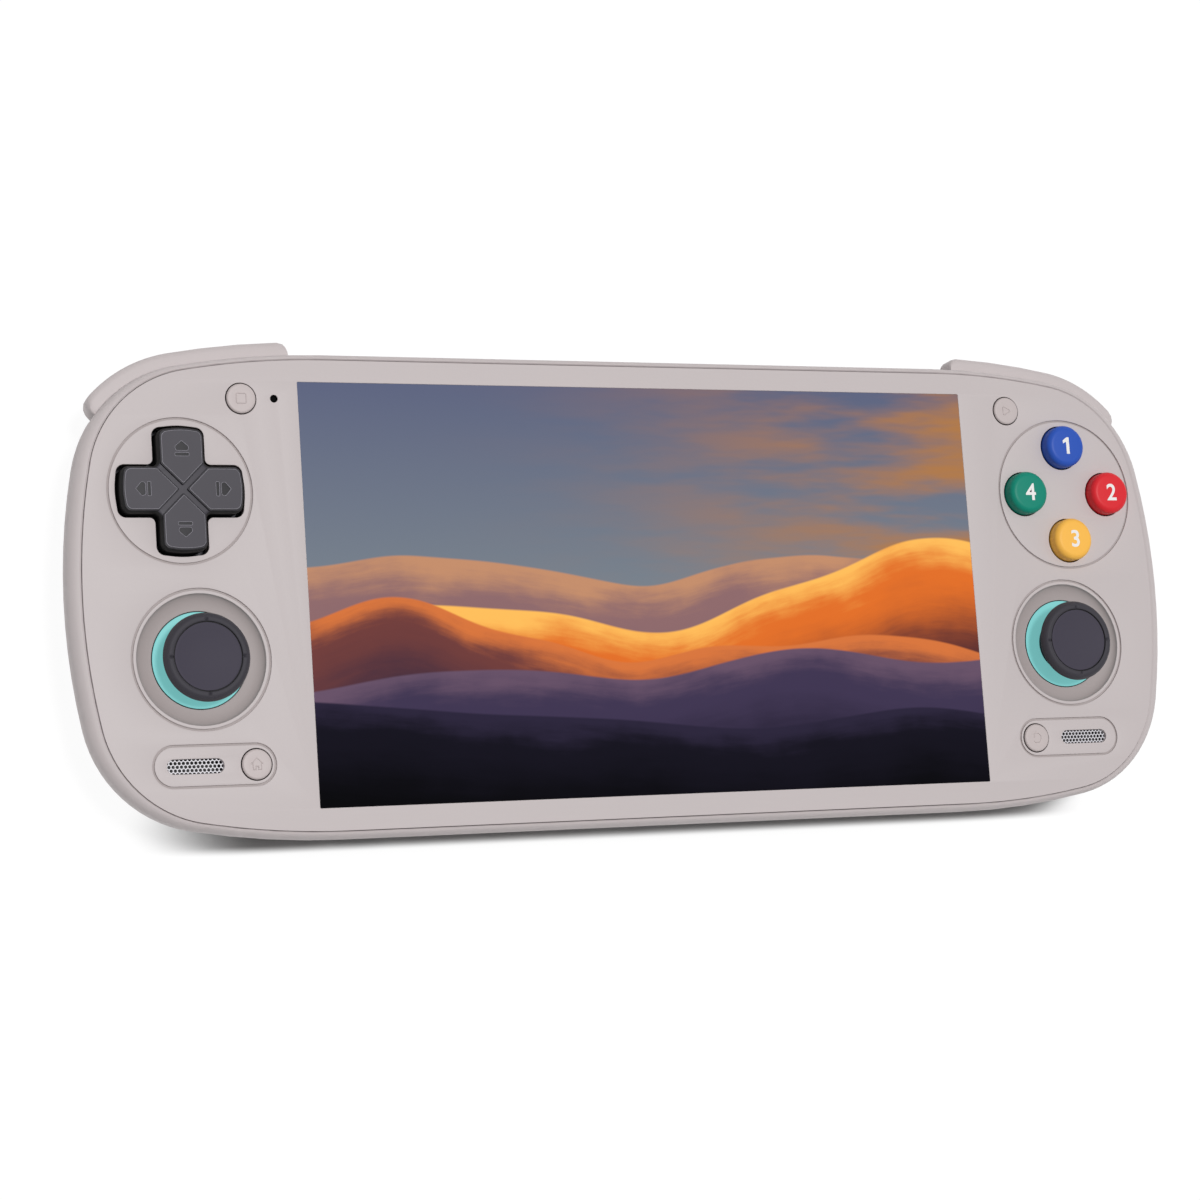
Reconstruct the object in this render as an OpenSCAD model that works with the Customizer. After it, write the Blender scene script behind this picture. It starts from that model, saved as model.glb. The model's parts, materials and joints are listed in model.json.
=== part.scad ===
// Handheld game console, lying on its back.
// X runs to the right, Y to the shoulder keys, Z out of the screen, millimetres.

/* [Display] */
// Visible width of the display
display_w = 121.76; // [110:0.02:134]
// Visible height of the display
display_h = 68.49; // [62:0.01:75]

/* [Case] */
// Width of the control field on each side of the display
side_w = 38.72; // [35:0.02:42]
// Width of the strip over and under the display
strip_w = 5.005; // [4.7:0.005:5.5]
// Thickness from the flat back to the front panel
body_t = 15.6; // [15.5:0.1:16.6]
// Radius of the long arc on each short side
side_r = 105.3; // [98:0.5:115]
// Radius of the four corners
corner_r = 20.85; // [20:0.05:22]
// Radius of the slow arc between a corner and the straight edge
shoulder_r = 132.5; // [120:0.5:145]
// Distance from the case's side to the start of the straight edge
shoulder_span = 43.1; // [42:0.1:45]
// Depth of the rounded front rim
rim_round = 2.4; // [1.9:0.1:2.8]
// Rounding of the back edge
back_round = 3.8; // [3.4:0.1:4.2]
// Lean of the case's sides towards the back, in degrees
side_lean = 23.5; // [20:0.5:24.5]
// Lean of the top and bottom edges towards the back, in degrees
edge_lean = 14.6; // [12:0.2:16]
// Wall thickness of the case
wall = 1.55; // [1.4:0.05:1.7]

/* [Front panel] */
// Thickness of the front panel
panel_t = 1.55; // [1.5:0.05:1.7]
// Width of the rim beside the panel on the short sides
rim_x = 2.05; // [1.8:0.05:2.3]
// Width of the rim beside the panel on the long sides
rim_y = 1.1; // [1:0.05:1.2]

/* [Controls] */
// Length across the cross key
dpad_span = 20.2; // [19:0.1:20.4]
// Width of one arm of the cross key
dpad_arm = 7.5; // [7:0.1:7.8]
// Height of the cross key over the panel
dpad_rise = 2.1; // [1.4:0.1:2.6]
// Radius of a round face button
button_r = 3.75; // [3.4:0.05:3.9]
// Height of a face button over the panel
button_rise = 2.5; // [1.6:0.1:2.8]
// Distance from the middle of the diamond to each face button
diamond_r = 8.4; // [8:0.1:8.8]
// Radius of the small round keys
key_r = 2.42; // [2.2:0.02:2.5]
// Radius of a thumb cap
cap_r = 7; // [6.4:0.1:7.1]
// Height of a thumb cap's rim over the panel
cap_rise = 4; // [3.6:0.1:4.6]
// Depth of a stick's pivot under the panel
pivot_depth = 6; // [5.8:0.1:6.2]

/* [Hidden] */
$fn = 64;
gap = 0.05;
seam = 0.15;
body_w = display_w + 2 * side_w;
body_h = display_h + 2 * strip_w;
front_z = body_t;
panel_z = front_z - panel_t;
deck_top = panel_z - gap;
deck_t = 1.2;
deck_z = deck_top - deck_t;
split_z = front_z - 7;
lip_z = split_z - seam;
tongue_t = 0.9;
tongue_h = 1;
inner = wall + seam + tongue_t;
floor_t = 2;
floor_round = 2.2;
foot_z = floor_t - 0.1;
rim_low = front_z - rim_round;
lean_blend = 5.6;
lean_z = rim_low - lean_blend;
seat_z = split_z - tongue_h - seam;
flat_half = body_w / 2 - shoulder_span;
groove_w = 0.36;
groove_d = 0.3;

// places of the controls, from the case's sides and the display
dpad_x = body_w / 2 - 18.45;
dpad_y = body_h / 2 - 22.8;
dpad_ring = 11.65;
diamond_ring = 13.3;
stick_x = body_w / 2 - 20.57;
stick_y = -10.3;
stick_ring = 11.15;
bowl_r = 10.45;
bowl_floor_r = 8;
bowl_d = 1.25;
menu_x = display_w / 2 + 9.62;
menu_y = body_h / 2 - 7.77;
low_x = body_w / 2 - 28.57;
low_y = 12.2 - body_h / 2;
plate_x = low_x + 6.72;
plate_len = 19.7;
plate_r = 3.25;
grille_x = low_x + 9.82;
grille_len = 9.2;
grille_h = 2.35;
mic_x = display_w / 2 + 4.12;
mic_y = body_h / 2 - 7.7;
mic_r = 0.55;

// levels of the boards
board_t = 1.2;
board_top = deck_z - 4;
board_z = board_top - board_t;
pivot_z = front_z - pivot_depth;
house_z = pivot_z - 4.4;
stick_board_z = house_z - board_t;
main_z = body_t - 8.4;
board_right = display_w / 2 + 0.12;
board_left = 0.88 - display_w / 2;
board_half = display_h / 2 - 0.245;
post_in = 4;
main_post_x = 9.5;

// fits
button_gap = 0.2;
key_gap = 0.15;
cross_gap = 0.38;
pin_gap = 0.05;
flange_t = 0.8;
flange_top = deck_z - gap;

// case screws
screw_r = 1;
head_r = 1.9;
head_h = 1.3;
head_z = 1.9;
boss_r = 2.6;
boss_z = 6;
boss_x = display_w / 2 + 4.42;
boss_top_y = body_h / 2 - 15.25;
boss_low_y = 6.25 - body_h / 2;
side_boss_y = dpad_y - 14.25;
side_boss_x = body_w / 2 - side_draw(0) - back_round - head_r - 0.8;
screw_spots = [
    [boss_x, boss_top_y], [boss_x, boss_low_y], [side_boss_x, side_boss_y],
    [-boss_x, boss_top_y], [-boss_x, boss_low_y], [-side_boss_x, side_boss_y]
];

// shoulder keys, by the outline's normal angle
bumper_start = 0.59;
bumper_from = acos((display_w / 2 + bumper_start - flat_half) / shoulder_r);
bumper_to = 37.3;
opening_to = 33.4;
bumper_free = 72;
bumper_travel = 1.4;
bumper_rise = 2.45;
bumper_in = 2.2;
bumper_z0 = split_z + 0.35;
bumper_z1 = rim_low;
bumper_pin_r = 1.1;
bumper_pin = [display_w / 2 + 4.32, body_h / 2 - 4.35];
trigger_from = 82.2;
trigger_to = 44;
trigger_gap = 2;
hinge_to = 33.5;
trigger_in = 1.7;
trigger_z0 = 1;
trigger_z1 = lip_z + gap;
lug_r = 1.35;
trigger_pin_r = 0.9;
trigger_axis_z = board_z - lug_r - gap;
trigger_axis_in = 2.6;
lug_at = 5;
lug_w = 2.4;
ear_at = 8;

// edges of the case: ports and keys
edge_z = split_z - 3.1;
edge_flange_r = 1.5;
edge_flange_t = 0.8;
edge_key_rise = 0.5;
power_drop = wall + 0.8;
rocker_drop = wall + 1.1;
edge_y = body_h / 2 - edge_draw(edge_z);
power_x = flat_half - 6.5;
volume_x = 10.5 - flat_half;
usb_z = split_z - 3.1;
jack_x = board_left + 10;
jack_z = split_z - 3.4;
jack_bore_r = 1.8;
jack_r = 2.35;
jack_box = 5.7;
jack_len = 13.4;
jack_end = jack_len + 0.7 + edge_draw(jack_z) - body_h / 2;
battery_room = 5.85;
board_low = body_h / 2 - jack_len - battery_room;
card_x = 32;
card_z = split_z - 2.4;
fan_x = 26;
fan_y = 4;
fan_r = 15.5;

shell_color = [0.78, 0.75, 0.74];
dark_color = [0.27, 0.26, 0.3];
teal_color = [0.41, 0.78, 0.74];
board_color = [0.1, 0.3, 0.2];
steel_color = [0.7, 0.7, 0.72];
rubber_color = [0.35, 0.35, 0.37];

// outline: a side arc, a corner and a slow shoulder arc, all tangent
side_steps = 5;
corner_steps = 14;
shoulder_steps = 4;

function ray(a) = [cos(a), sin(a)];

// centres of the three arcs of one quarter and the two angles where they meet
function arc_set(w, h, rs, rc, rt) =
    let (cs = [w - rs, 0])
    let (ct = [flat_half, h - rt])
    let (a = rs - rc)
    let (b = rt - rc)
    let (d = norm(ct - cs))
    let (u = (ct - cs) / d)
    let (m = (d * d + a * a - b * b) / (2 * d))
    let (k = sqrt(a * a - m * m))
    let (cc = cs + m * u + k * [-u[1], u[0]])
    [cs, cc, ct, atan2(cc[1] - cs[1], cc[0] - cs[0]), atan2(cc[1] - ct[1], cc[0] - ct[0])];

function quarter(w, h, rs, rc, rt) =
    let (s = arc_set(w, h, rs, rc, rt))
    let (a1 = s[3])
    let (a2 = s[4])
    concat(
        [for (i = [0 : side_steps - 1]) s[0] + rs * ray(a1 * i / side_steps)],
        [for (i = [0 : corner_steps - 1]) s[1] + rc * ray(a1 + (a2 - a1) * i / corner_steps)],
        [for (i = [0 : shoulder_steps]) s[2] + rt * ray(a2 + (90 - a2) * i / shoulder_steps)]
    );

// closed outline, drawn in by dx at the sides and dy at top and bottom
function ring(dx, dy) =
    let (r = corner_r - (dx + dy) / 2,
        q = quarter(body_w / 2 - dx, body_h / 2 - dy, side_r - dx, r, shoulder_r - dy))
    let (n = len(q))
    concat(
        q,
        [for (i = [n - 1 : -1 : 0]) [-q[i][0], q[i][1]]],
        [for (i = [1 : n - 1]) [-q[i][0], -q[i][1]]],
        [for (i = [n - 1 : -1 : 1]) [q[i][0], -q[i][1]]]
    );

// one point of the first quarter by its normal angle, moved out by n
function outline_at(a, n) =
    let (s = arc_set(body_w / 2, body_h / 2, side_r, corner_r, shoulder_r))
    a < s[3] ? s[0] + (side_r + n) * ray(a)
    : a < s[4] ? s[1] + (corner_r + n) * ray(a)
    : s[2] + (shoulder_r + n) * ray(a);

function reach_at(a) =
    let (s = arc_set(body_w / 2, body_h / 2, side_r, corner_r, shoulder_r))
    a < s[3] ? side_r : a < s[4] ? corner_r : shoulder_r;

// how far the case is drawn in at a height below its rim: a slow bend, then a straight lean
function drawn(z) = z > lean_z ? pow(rim_low - z, 2) / (2 * lean_blend) : rim_low - z - lean_blend / 2;
function side_draw(z) = tan(side_lean) * drawn(z);
function edge_draw(z) = tan(edge_lean) * drawn(z);
function shell_ring(z, n) = at_z(z, ring(side_draw(z) + n, edge_draw(z) + n));

// rounding from the leaning wall at z1 to the level z0, moved in by n, as s runs from 0 to 1
function ease(s, a, b, c) = (1 - s) * (1 - s) * a + 2 * s * (1 - s) * b + s * s * c;
function foot_ring(s, z0, z1, n) =
    at_z(ease(s, z1, z0, z0), ring(
        n + ease(s, side_draw(z1), side_draw(z0), side_draw(z0) + z1 - z0),
        n + ease(s, edge_draw(z1), edge_draw(z0), edge_draw(z0) + z1 - z0)));

function at_z(z, points) = [for (p = points) [p[0], p[1], z]];
function middle(points) = [for (p = points) 1] * points / len(points);

// closed skin through rings of equal length, with a fan over each end
module skin(rings) {
    n = len(rings[0]);
    m = len(rings);
    body_points = [for (r = rings) for (p = r) p];
    points = concat(body_points, [middle(rings[0]), middle(rings[m - 1])]);
    sides = [for (j = [0 : m - 2]) for (i = [0 : n - 1])
        let (k = (i + 1) % n)
        each [[j * n + i, j * n + n + i, j * n + n + k], [j * n + i, j * n + n + k, j * n + k]]];
    first = [for (i = [0 : n - 1]) [m * n, i, (i + 1) % n]];
    last = [for (i = [0 : n - 1]) [m * n + 1, (m - 1) * n + (i + 1) % n, (m - 1) * n + i]];
    polyhedron(points, concat(sides, first, last));
}

// flat band along the outline between two normal angles and two offsets
module outline_band(from, to, n0, n1, z0, z1) {
    steps = 24;
    outer_edge = [for (i = [0 : steps]) outline_at(from + (to - from) * i / steps, n1)];
    inner_edge = [for (i = [steps : -1 : 0]) outline_at(from + (to - from) * i / steps, n0)];
    translate([0, 0, z0])
        linear_extrude(z1 - z0)
            polygon(concat(outer_edge, inner_edge));
}

module stadium(len, r) {
    square([len - 2 * r, 2 * r], center = true);
    for (s = [-1, 1])
        translate([s * (len / 2 - r), 0])
            circle(r);
}

module left_side() {
    mirror([1, 0, 0])
        children();
}

module both_sides() {
    children();
    left_side()
        children();
}

// rounded plus shape, counted round from the arm on +X
cross_steps = 4;
function corner_arc(c, r, a0, a1) =
    [for (i = [0 : cross_steps]) c + r * ray(a0 + (a1 - a0) * i / cross_steps)];
function turned(points, a) =
    [for (p = points) [p[0] * cos(a) - p[1] * sin(a), p[0] * sin(a) + p[1] * cos(a)]];
function cross_ring(half, arm, ro, ri) =
    let (part = concat(
        corner_arc([half - ro, ro - arm], ro, -90, 0),
        corner_arc([half - ro, arm - ro], ro, 0, 90),
        corner_arc([arm + ri, arm + ri], ri, 270, 180)))
    [for (a = [0, 90, 180, 270]) each turned(part, a)];

dpad_half = dpad_span / 2;
dpad_arm_half = dpad_arm / 2;
dpad_out_r = 1.4;
dpad_in_r = 0.9;

module dpad_opening(extra) {
    polygon(cross_ring(dpad_half + cross_gap + extra, dpad_arm_half + cross_gap + extra,
        dpad_out_r + extra, dpad_in_r));
}

// places of the four face buttons round the diamond: right, top, left, bottom
function diamond_spot(k) = [dpad_x, dpad_y] + diamond_r * ray(90 * k);
module at_diamond(k) {
    translate([diamond_spot(k)[0], diamond_spot(k)[1], 0])
        children();
}

module ring_groove(x, y, r) {
    translate([x, y, front_z])
        rotate_extrude()
            polygon([[r - groove_w / 2, gap], [r + groove_w / 2, gap], [r + groove_w / 2, 0],
                [r, -groove_d], [r - groove_w / 2, 0]]);
}

// dished bowl of a thumb stick, steep at its edge
bowl_steps = 7;
module bowl_cut() {
    bowl_w = bowl_r - bowl_floor_r;
    side = [for (i = [0 : bowl_steps])
        let (a = 90 * i / bowl_steps)
        [bowl_floor_r + bowl_w * sin(a), -bowl_d * cos(a)]];
    translate([stick_x, stick_y, front_z])
        rotate_extrude()
            polygon(concat([[0, -panel_t - 1], [bowl_floor_r, -panel_t - 1]], side, [[bowl_r, 1], [0, 1]]));
}

// round opening with a small bevel at the panel's face
edge_bevel = 0.2;
module round_opening(x, y, r) {
    translate([x, y, panel_z - 1])
        cylinder(r = r, h = panel_t + 2);
    translate([x, y, front_z - edge_bevel])
        cylinder(r1 = r, r2 = r + 2 * edge_bevel, h = 2 * edge_bevel);
}

module front_panel() {
    edge = 0.18;
    glass_gap = 0.12;
    px = rim_x + seam;
    py = rim_y + seam;
    color(shell_color)
        difference() {
            skin([at_z(panel_z, ring(px, py)), at_z(front_z - edge, ring(px, py)),
                at_z(front_z, ring(px + edge, py + edge))]);
            translate([0, 0, front_z])
                cube([display_w + 2 * glass_gap, display_h + 2 * glass_gap, 3 * panel_t], center = true);
            translate([-dpad_x, dpad_y, panel_z - 1])
                linear_extrude(panel_t + 2)
                    dpad_opening(0);
            for (k = [0 : 3])
                round_opening(diamond_spot(k)[0], diamond_spot(k)[1], button_r + button_gap);
            both_sides() {
                bowl_cut();
                ring_groove(stick_x, stick_y, stick_ring);
                round_opening(menu_x, menu_y, key_r + key_gap);
                round_opening(low_x, low_y, key_r + key_gap);
                translate([grille_x, low_y, panel_z - 1])
                    linear_extrude(panel_t + 2)
                        stadium(grille_len, grille_h / 2);
                translate([plate_x, low_y, front_z - groove_d])
                    linear_extrude(groove_d + 1)
                        difference() {
                            stadium(plate_len, plate_r);
                            stadium(plate_len - groove_w, plate_r - groove_w / 2);
                        }
            }
            ring_groove(-dpad_x, dpad_y, dpad_ring);
            ring_groove(dpad_x, dpad_y, diamond_ring);
            translate([-mic_x, mic_y, panel_z - 1])
                cylinder(r = mic_r, h = panel_t + 2);
        }
}

// rounded rim round the panel with a deck behind it, bosses and posts under the deck
module front_frame() {
    crest = 0.85;
    board_props = [[mic_x + 2.03, dpad_y - 8.45], [body_w / 2 - 6.2, dpad_y - 9.95], [menu_x + 5, menu_y]];
    round_rings = [for (a = [0 : 15 : 90])
        let (draw = crest * (1 - cos(a)))
        at_z(rim_low + (rim_round - gap) * sin(a), ring(rim_x * draw, rim_y * draw))];
    bend_rings = [for (i = [0 : 2])
        shell_ring(split_z + (rim_low - split_z) * i / 3, 0)];
    color(shell_color)
        difference() {
            union() {
                skin(concat(
                    [at_z(deck_z, ring(inner, inner)),
                    at_z(split_z - tongue_h, ring(inner, inner)),
                    at_z(split_z - tongue_h, ring(wall + seam, wall + seam)),
                    at_z(split_z, ring(wall + seam, wall + seam))],
                    bend_rings,
                    round_rings,
                    [at_z(front_z - 0.22, ring(rim_x, rim_y)),
                    at_z(deck_top, ring(rim_x, rim_y))]));
                for (p = screw_spots)
                    translate([p[0], p[1], boss_z + gap])
                        cylinder(r = boss_r, h = deck_z + 0.5 - boss_z - gap);
                both_sides() {
                    for (p = board_props)
                        translate([p[0], p[1], board_top])
                            cylinder(r = 1.2, h = deck_z + 0.5 - board_top);
                    translate([bumper_pin[0], bumper_pin[1], bumper_z0])
                        cylinder(r = bumper_pin_r, h = deck_z + 0.5 - bumper_z0);
                }
            }
            translate([0, 0, deck_z])
                cube([display_w + 3.5, display_h + 3.3, 4 * deck_t], center = true);
            translate([-dpad_x, dpad_y, deck_z - 1])
                linear_extrude(deck_t + 2)
                    dpad_opening(0.3);
            for (k = [0 : 3])
                at_diamond(k)
                    translate([0, 0, deck_z - 1])
                        cylinder(r = button_r + button_gap + 0.1, h = deck_t + 2);
            both_sides() {
                translate([stick_x, stick_y, deck_z - 1])
                    cylinder(r = bowl_floor_r + 1.3, h = deck_t + 2);
                for (p = [[menu_x, menu_y], [low_x, low_y]])
                    translate([p[0], p[1], deck_z - 1])
                        cylinder(r = key_r + key_gap + 0.1, h = deck_t + 2);
                translate([grille_x, low_y, deck_z - 1])
                    linear_extrude(deck_t + 2)
                        stadium(grille_len + 1.6, grille_h / 2 + 0.8);
                outline_band(bumper_from + 0.25, opening_to, -inner - 0.3, 4, split_z - 2, bumper_z1 + 0.2);
                outline_band(bumper_free, opening_to, -bumper_in - bumper_travel, 0,
                    deck_z - 1, bumper_z1 + 0.2);
            }
            translate([-mic_x, mic_y, deck_z - 1])
                cylinder(r = 1.3, h = deck_t + 2);
            for (p = screw_spots)
                translate([p[0], p[1], boss_z - 1])
                    cylinder(r = screw_r + pin_gap, h = deck_z - 1.3 - boss_z + 1);
        }
}

// frame of the trigger's hinge: x along the pin, y out of the case
trigger_p0 = outline_at(trigger_from, 0);
trigger_p1 = outline_at(hinge_to, 0);
trigger_turn = atan2(trigger_p1[1] - trigger_p0[1], trigger_p1[0] - trigger_p0[0]);
trigger_axis = (trigger_p0 + trigger_p1) / 2 - trigger_axis_in * ray(trigger_turn + 90);
module at_trigger_axis() {
    translate([trigger_axis[0], trigger_axis[1], trigger_axis_z])
        rotate([0, 0, trigger_turn])
            children();
}

module vent_slots() {
    pitch = 3;
    rows = 4;
    for (i = [-rows : rows])
        translate([fan_x + i * pitch, fan_y, -1])
            linear_extrude(floor_t + 2)
                rotate(90)
                    stadium(2 * sqrt(pow(fan_r - 2, 2) - pow(i * pitch, 2)), 0.7);
    for (i = [-rows : rows])
        translate([fan_x + i * pitch, edge_y, edge_z])
            rotate([90, 0, 0])
                linear_extrude(5 * wall, center = true)
                    rotate(90)
                        stadium(3, 0.7);
}

module rear_shell() {
    outer_rings = [for (i = [6 : -1 : 0]) foot_ring(i / 6, 0, back_round, 0)];
    lip_rings = [shell_ring(lean_z, 0), shell_ring(lip_z, 0), at_z(lip_z, ring(wall, wall)),
        at_z(seat_z, ring(wall, wall)), shell_ring(seat_z - gap, wall)];
    inner_rings = [for (i = [0 : 3]) foot_ring(i / 3, floor_t, floor_t + floor_round, wall)];
    main_posts = [[board_right - post_in, board_half - post_in],
        [board_right - post_in, post_in - board_half],
        [main_post_x, board_half - post_in], [board_left + 3, post_in - board_half]];
    stick_posts = [[stick_x - 9, stick_y + 6.3], [stick_x + 9, stick_y + 6.3],
        [stick_x - 6.5, boss_low_y + 3], [stick_x + 4, boss_low_y + 2]];
    color(shell_color)
        difference() {
            union() {
                skin(concat(outer_rings, lip_rings, inner_rings));
                for (p = screw_spots)
                    translate([p[0], p[1], foot_z])
                        cylinder(r = boss_r + 0.5, h = boss_z - foot_z);
                for (p = main_posts)
                    translate([p[0], p[1], foot_z])
                        cylinder(r = 1.6, h = main_z - foot_z);
                both_sides() {
                    for (p = stick_posts)
                        translate([p[0], p[1], foot_z])
                            cylinder(r = 1.5, h = stick_board_z - foot_z);
                    at_trigger_axis()
                        for (s = [-1, 1])
                            translate([s * ear_at - 0.9, -2.2, foot_z - trigger_axis_z])
                                cube([1.8, 3.5, trigger_axis_z + 1.3 - foot_z]);
                }
            }
            both_sides() {
                outline_band(trigger_from + 0.2, trigger_to - trigger_gap, -trigger_in - 1.5, 4, -1, 1.2);
                outline_band(trigger_from + 0.2, trigger_to - trigger_gap, -trigger_in - 0.8, 4, 1, split_z);
                at_trigger_axis() {
                    rotate([0, 90, 0])
                        cylinder(r = trigger_pin_r + 0.02, h = 2 * ear_at + 4, center = true);
                    for (s = [-1, 1])
                        translate([s * lug_at - lug_w / 2 - 0.4, -2, -lug_r - 0.7])
                            cube([lug_w + 0.8, 8, 2 * lug_r + 1.4]);
                }
            }
            for (p = screw_spots) {
                translate([p[0], p[1], -1])
                    cylinder(r = head_r + 0.3, h = 1 + head_z + head_h);
                translate([p[0], p[1], 0])
                    cylinder(r = screw_r + 0.2, h = boss_z + 1);
            }
            vent_slots();
            translate([power_x, edge_y, edge_z])
                rotate([90, 0, 0])
                    linear_extrude(5 * wall, center = true)
                        stadium(9, 1.4);
            translate([volume_x, edge_y, edge_z])
                rotate([90, 0, 0])
                    linear_extrude(5 * wall, center = true)
                        stadium(20.6, 1.4);
            translate([0, -edge_y, usb_z])
                rotate([90, 0, 0])
                    linear_extrude(5 * wall, center = true)
                        stadium(9.3, 1.8);
            translate([jack_x, -edge_y, jack_z])
                rotate([90, 0, 0])
                    cylinder(r = jack_r + seam, h = 6.4 * wall, center = true);
            translate([card_x, -edge_y, card_z])
                cube([12.4, 5 * wall, 1.7], center = true);
        }
}

module display_glass() {
    color([0.05, 0.06, 0.08])
        translate([-display_w / 2, -display_h / 2, panel_z])
            cube([display_w, display_h, panel_t]);
}

module display_module() {
    color([0.12, 0.12, 0.13])
        translate([0, 0, deck_z - 0.4 + 0.8])
            cube([display_w + 3.2, display_h + 3, 1.6], center = true);
}

module midframe() {
    w = display_w + 1.8;
    h = display_h + 2;
    color(steel_color)
        translate([0, 0, deck_z - 1.45])
            linear_extrude(1)
                difference() {
                    square([w, h], center = true);
                    for (x = [-36, -12, 12, 36])
                        translate([x, 20])
                            square([12, 14], center = true);
                    for (x = [-30, 0, 30])
                        translate([x, -20])
                            stadium(16, 4);
                }
}

module battery() {
    color([0.16, 0.17, 0.2])
        translate([board_left + 2, -board_low, floor_t + gap]) {
            cube([-board_left, board_low + board_half - 2, main_z - floor_t - 0.6]);
            translate([4, -1.2, 1.2])
                cube([24, 1.3, 2.2]);
        }
}

module mainboard() {
    color(board_color)
        difference() {
            union() {
                translate([0, 0, main_z])
                    linear_extrude(board_t)
                        difference() {
                            union() {
                                translate([6, -board_half])
                                    square([board_right - 6, 2 * board_half]);
                                translate([board_left, -board_half])
                                    square([7 - board_left, board_half - board_low]);
                            }
                            translate([jack_x - 3.6, -board_half - 1])
                                square([7.2, jack_end + board_half + 1.45]);
                        }
                for (c = [[18, -6, 15, 15, 1], [38, -2, 10, 12, 0.9], [40, 14, 12, 9, 0.9],
                    [12, 6 - board_half, 9, 5, 0.8], [-30, 3 - board_half, 14, 5, 0.8],
                    [44, 6 - board_half, 8, 6, 0.8]])
                    translate([c[0], c[1], main_z + board_t - 0.1])
                        cube([c[2], c[3], c[4] + 0.1]);
            }
            translate([main_post_x, board_half - post_in, 0])
                cylinder(r = 0.9, h = front_z);
        }
}

module heat_spreader() {
    color([0.75, 0.45, 0.3])
        translate([12, -10, main_z + board_t + 1 + gap])
            cube([38, 36, 0.8]);
}

// round blower: open towards the back vents, its wall open towards the top edge
module fan_housing() {
    top = main_z - 0.35;
    color([0.15, 0.15, 0.16])
        translate([fan_x, fan_y, 0])
            difference() {
                union() {
                    difference() {
                        translate([0, 0, floor_t + gap])
                            cylinder(r = fan_r, h = top - floor_t - gap);
                        translate([0, 0, 0])
                            cylinder(r = fan_r - 1.2, h = top - 0.7);
                    }
                    cylinder(r = 1, h = top - 0.3);
                }
                translate([-8, 8, 0])
                    cube([16, 12, top - 0.7]);
                cylinder(r = 4, h = floor_t + 0.5);
            }
}

module fan_rotor() {
    z0 = floor_t + 0.7;
    rotor_h = main_z - floor_t - 2;
    blades = 11;
    color([0.1, 0.1, 0.11])
        translate([fan_x, fan_y, z0])
            difference() {
                union() {
                    cylinder(r = 4.6, h = rotor_h);
                    for (k = [0 : blades - 1])
                        rotate(360 * k / blades)
                            translate([4, 0, 0])
                                rotate(32)
                                    translate([0, -0.3, 0.2])
                                        cube([8.6, 0.6, rotor_h - 0.6]);
                }
                translate([0, 0, -1])
                    cylinder(r = 1 + pin_gap, h = rotor_h + 2);
            }
}

// right-hand board under the upper controls
module control_board() {
    color(board_color)
        translate([0, 0, board_z])
            linear_extrude(board_t)
                difference() {
                    intersection() {
                        polygon(ring(4.4, 4.4));
                        translate([mic_x - 1, dpad_y - 13.05])
                            square([side_w, body_h / 2]);
                    }
                    for (p = screw_spots)
                        translate(p)
                            circle(boss_r + 0.6);
                }
}

module right_control_board() {
    control_board();
}

module left_control_board() {
    left_side()
        control_board();
}

module stick_board() {
    color(board_color)
        translate([0, 0, stick_board_z])
            linear_extrude(board_t)
                difference() {
                    intersection() {
                        polygon(ring(side_draw(stick_board_z) + wall + 0.5,
                            edge_draw(stick_board_z) + wall + 0.5));
                        translate([stick_x - 12.6, boss_low_y])
                            square([25.5, stick_y + 8.3 - boss_low_y]);
                    }
                    for (p = screw_spots)
                        translate(p)
                            circle(boss_r + 1);
                }
}

module right_stick_board() {
    stick_board();
}

module left_stick_board() {
    left_side()
        stick_board();
}

// sheet and domes under the cross key
dpad_flange_r = 10.5;
dpad_flange_z = board_top + 1.8;
dpad_pivot_z = deck_z - 0.2;
ball_r = 1.6;
module dpad_membrane() {
    sheet = 0.7;
    color(rubber_color)
        translate([-dpad_x, dpad_y, board_top])
            difference() {
                union() {
                    cylinder(r = 11.6, h = sheet);
                    for (a = [0, 90, 180, 270])
                        rotate(a)
                            translate([7.2, 0, 0])
                                cylinder(r1 = 2.8, r2 = 2, h = dpad_flange_z - board_top);
                }
                translate([0, 0, -1])
                    cylinder(r = 2.2, h = 3);
            }
}

module face_button_membrane() {
    sheet = 0.7;
    dome_h = flange_top - flange_t - board_top;
    color(rubber_color)
        union() {
            translate([0, 0, board_top])
                linear_extrude(sheet)
                    intersection() {
                        translate([dpad_x, dpad_y])
                            circle(12.6);
                        polygon(ring(4.7, 4.7));
                    }
            for (k = [0 : 3])
                at_diamond(k)
                    translate([0, 0, board_top])
                        cylinder(r1 = 3.8, r2 = 2.6, h = dome_h);
        }
}

module dpad_pivot_post() {
    color(dark_color)
        translate([-dpad_x, dpad_y, board_top])
            cylinder(r = 1.6, h = dpad_pivot_z - ball_r - board_top);
}

module dpad_pivot_ball() {
    color(steel_color)
        translate([-dpad_x, dpad_y, dpad_pivot_z])
            sphere(ball_r);
}

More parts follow.
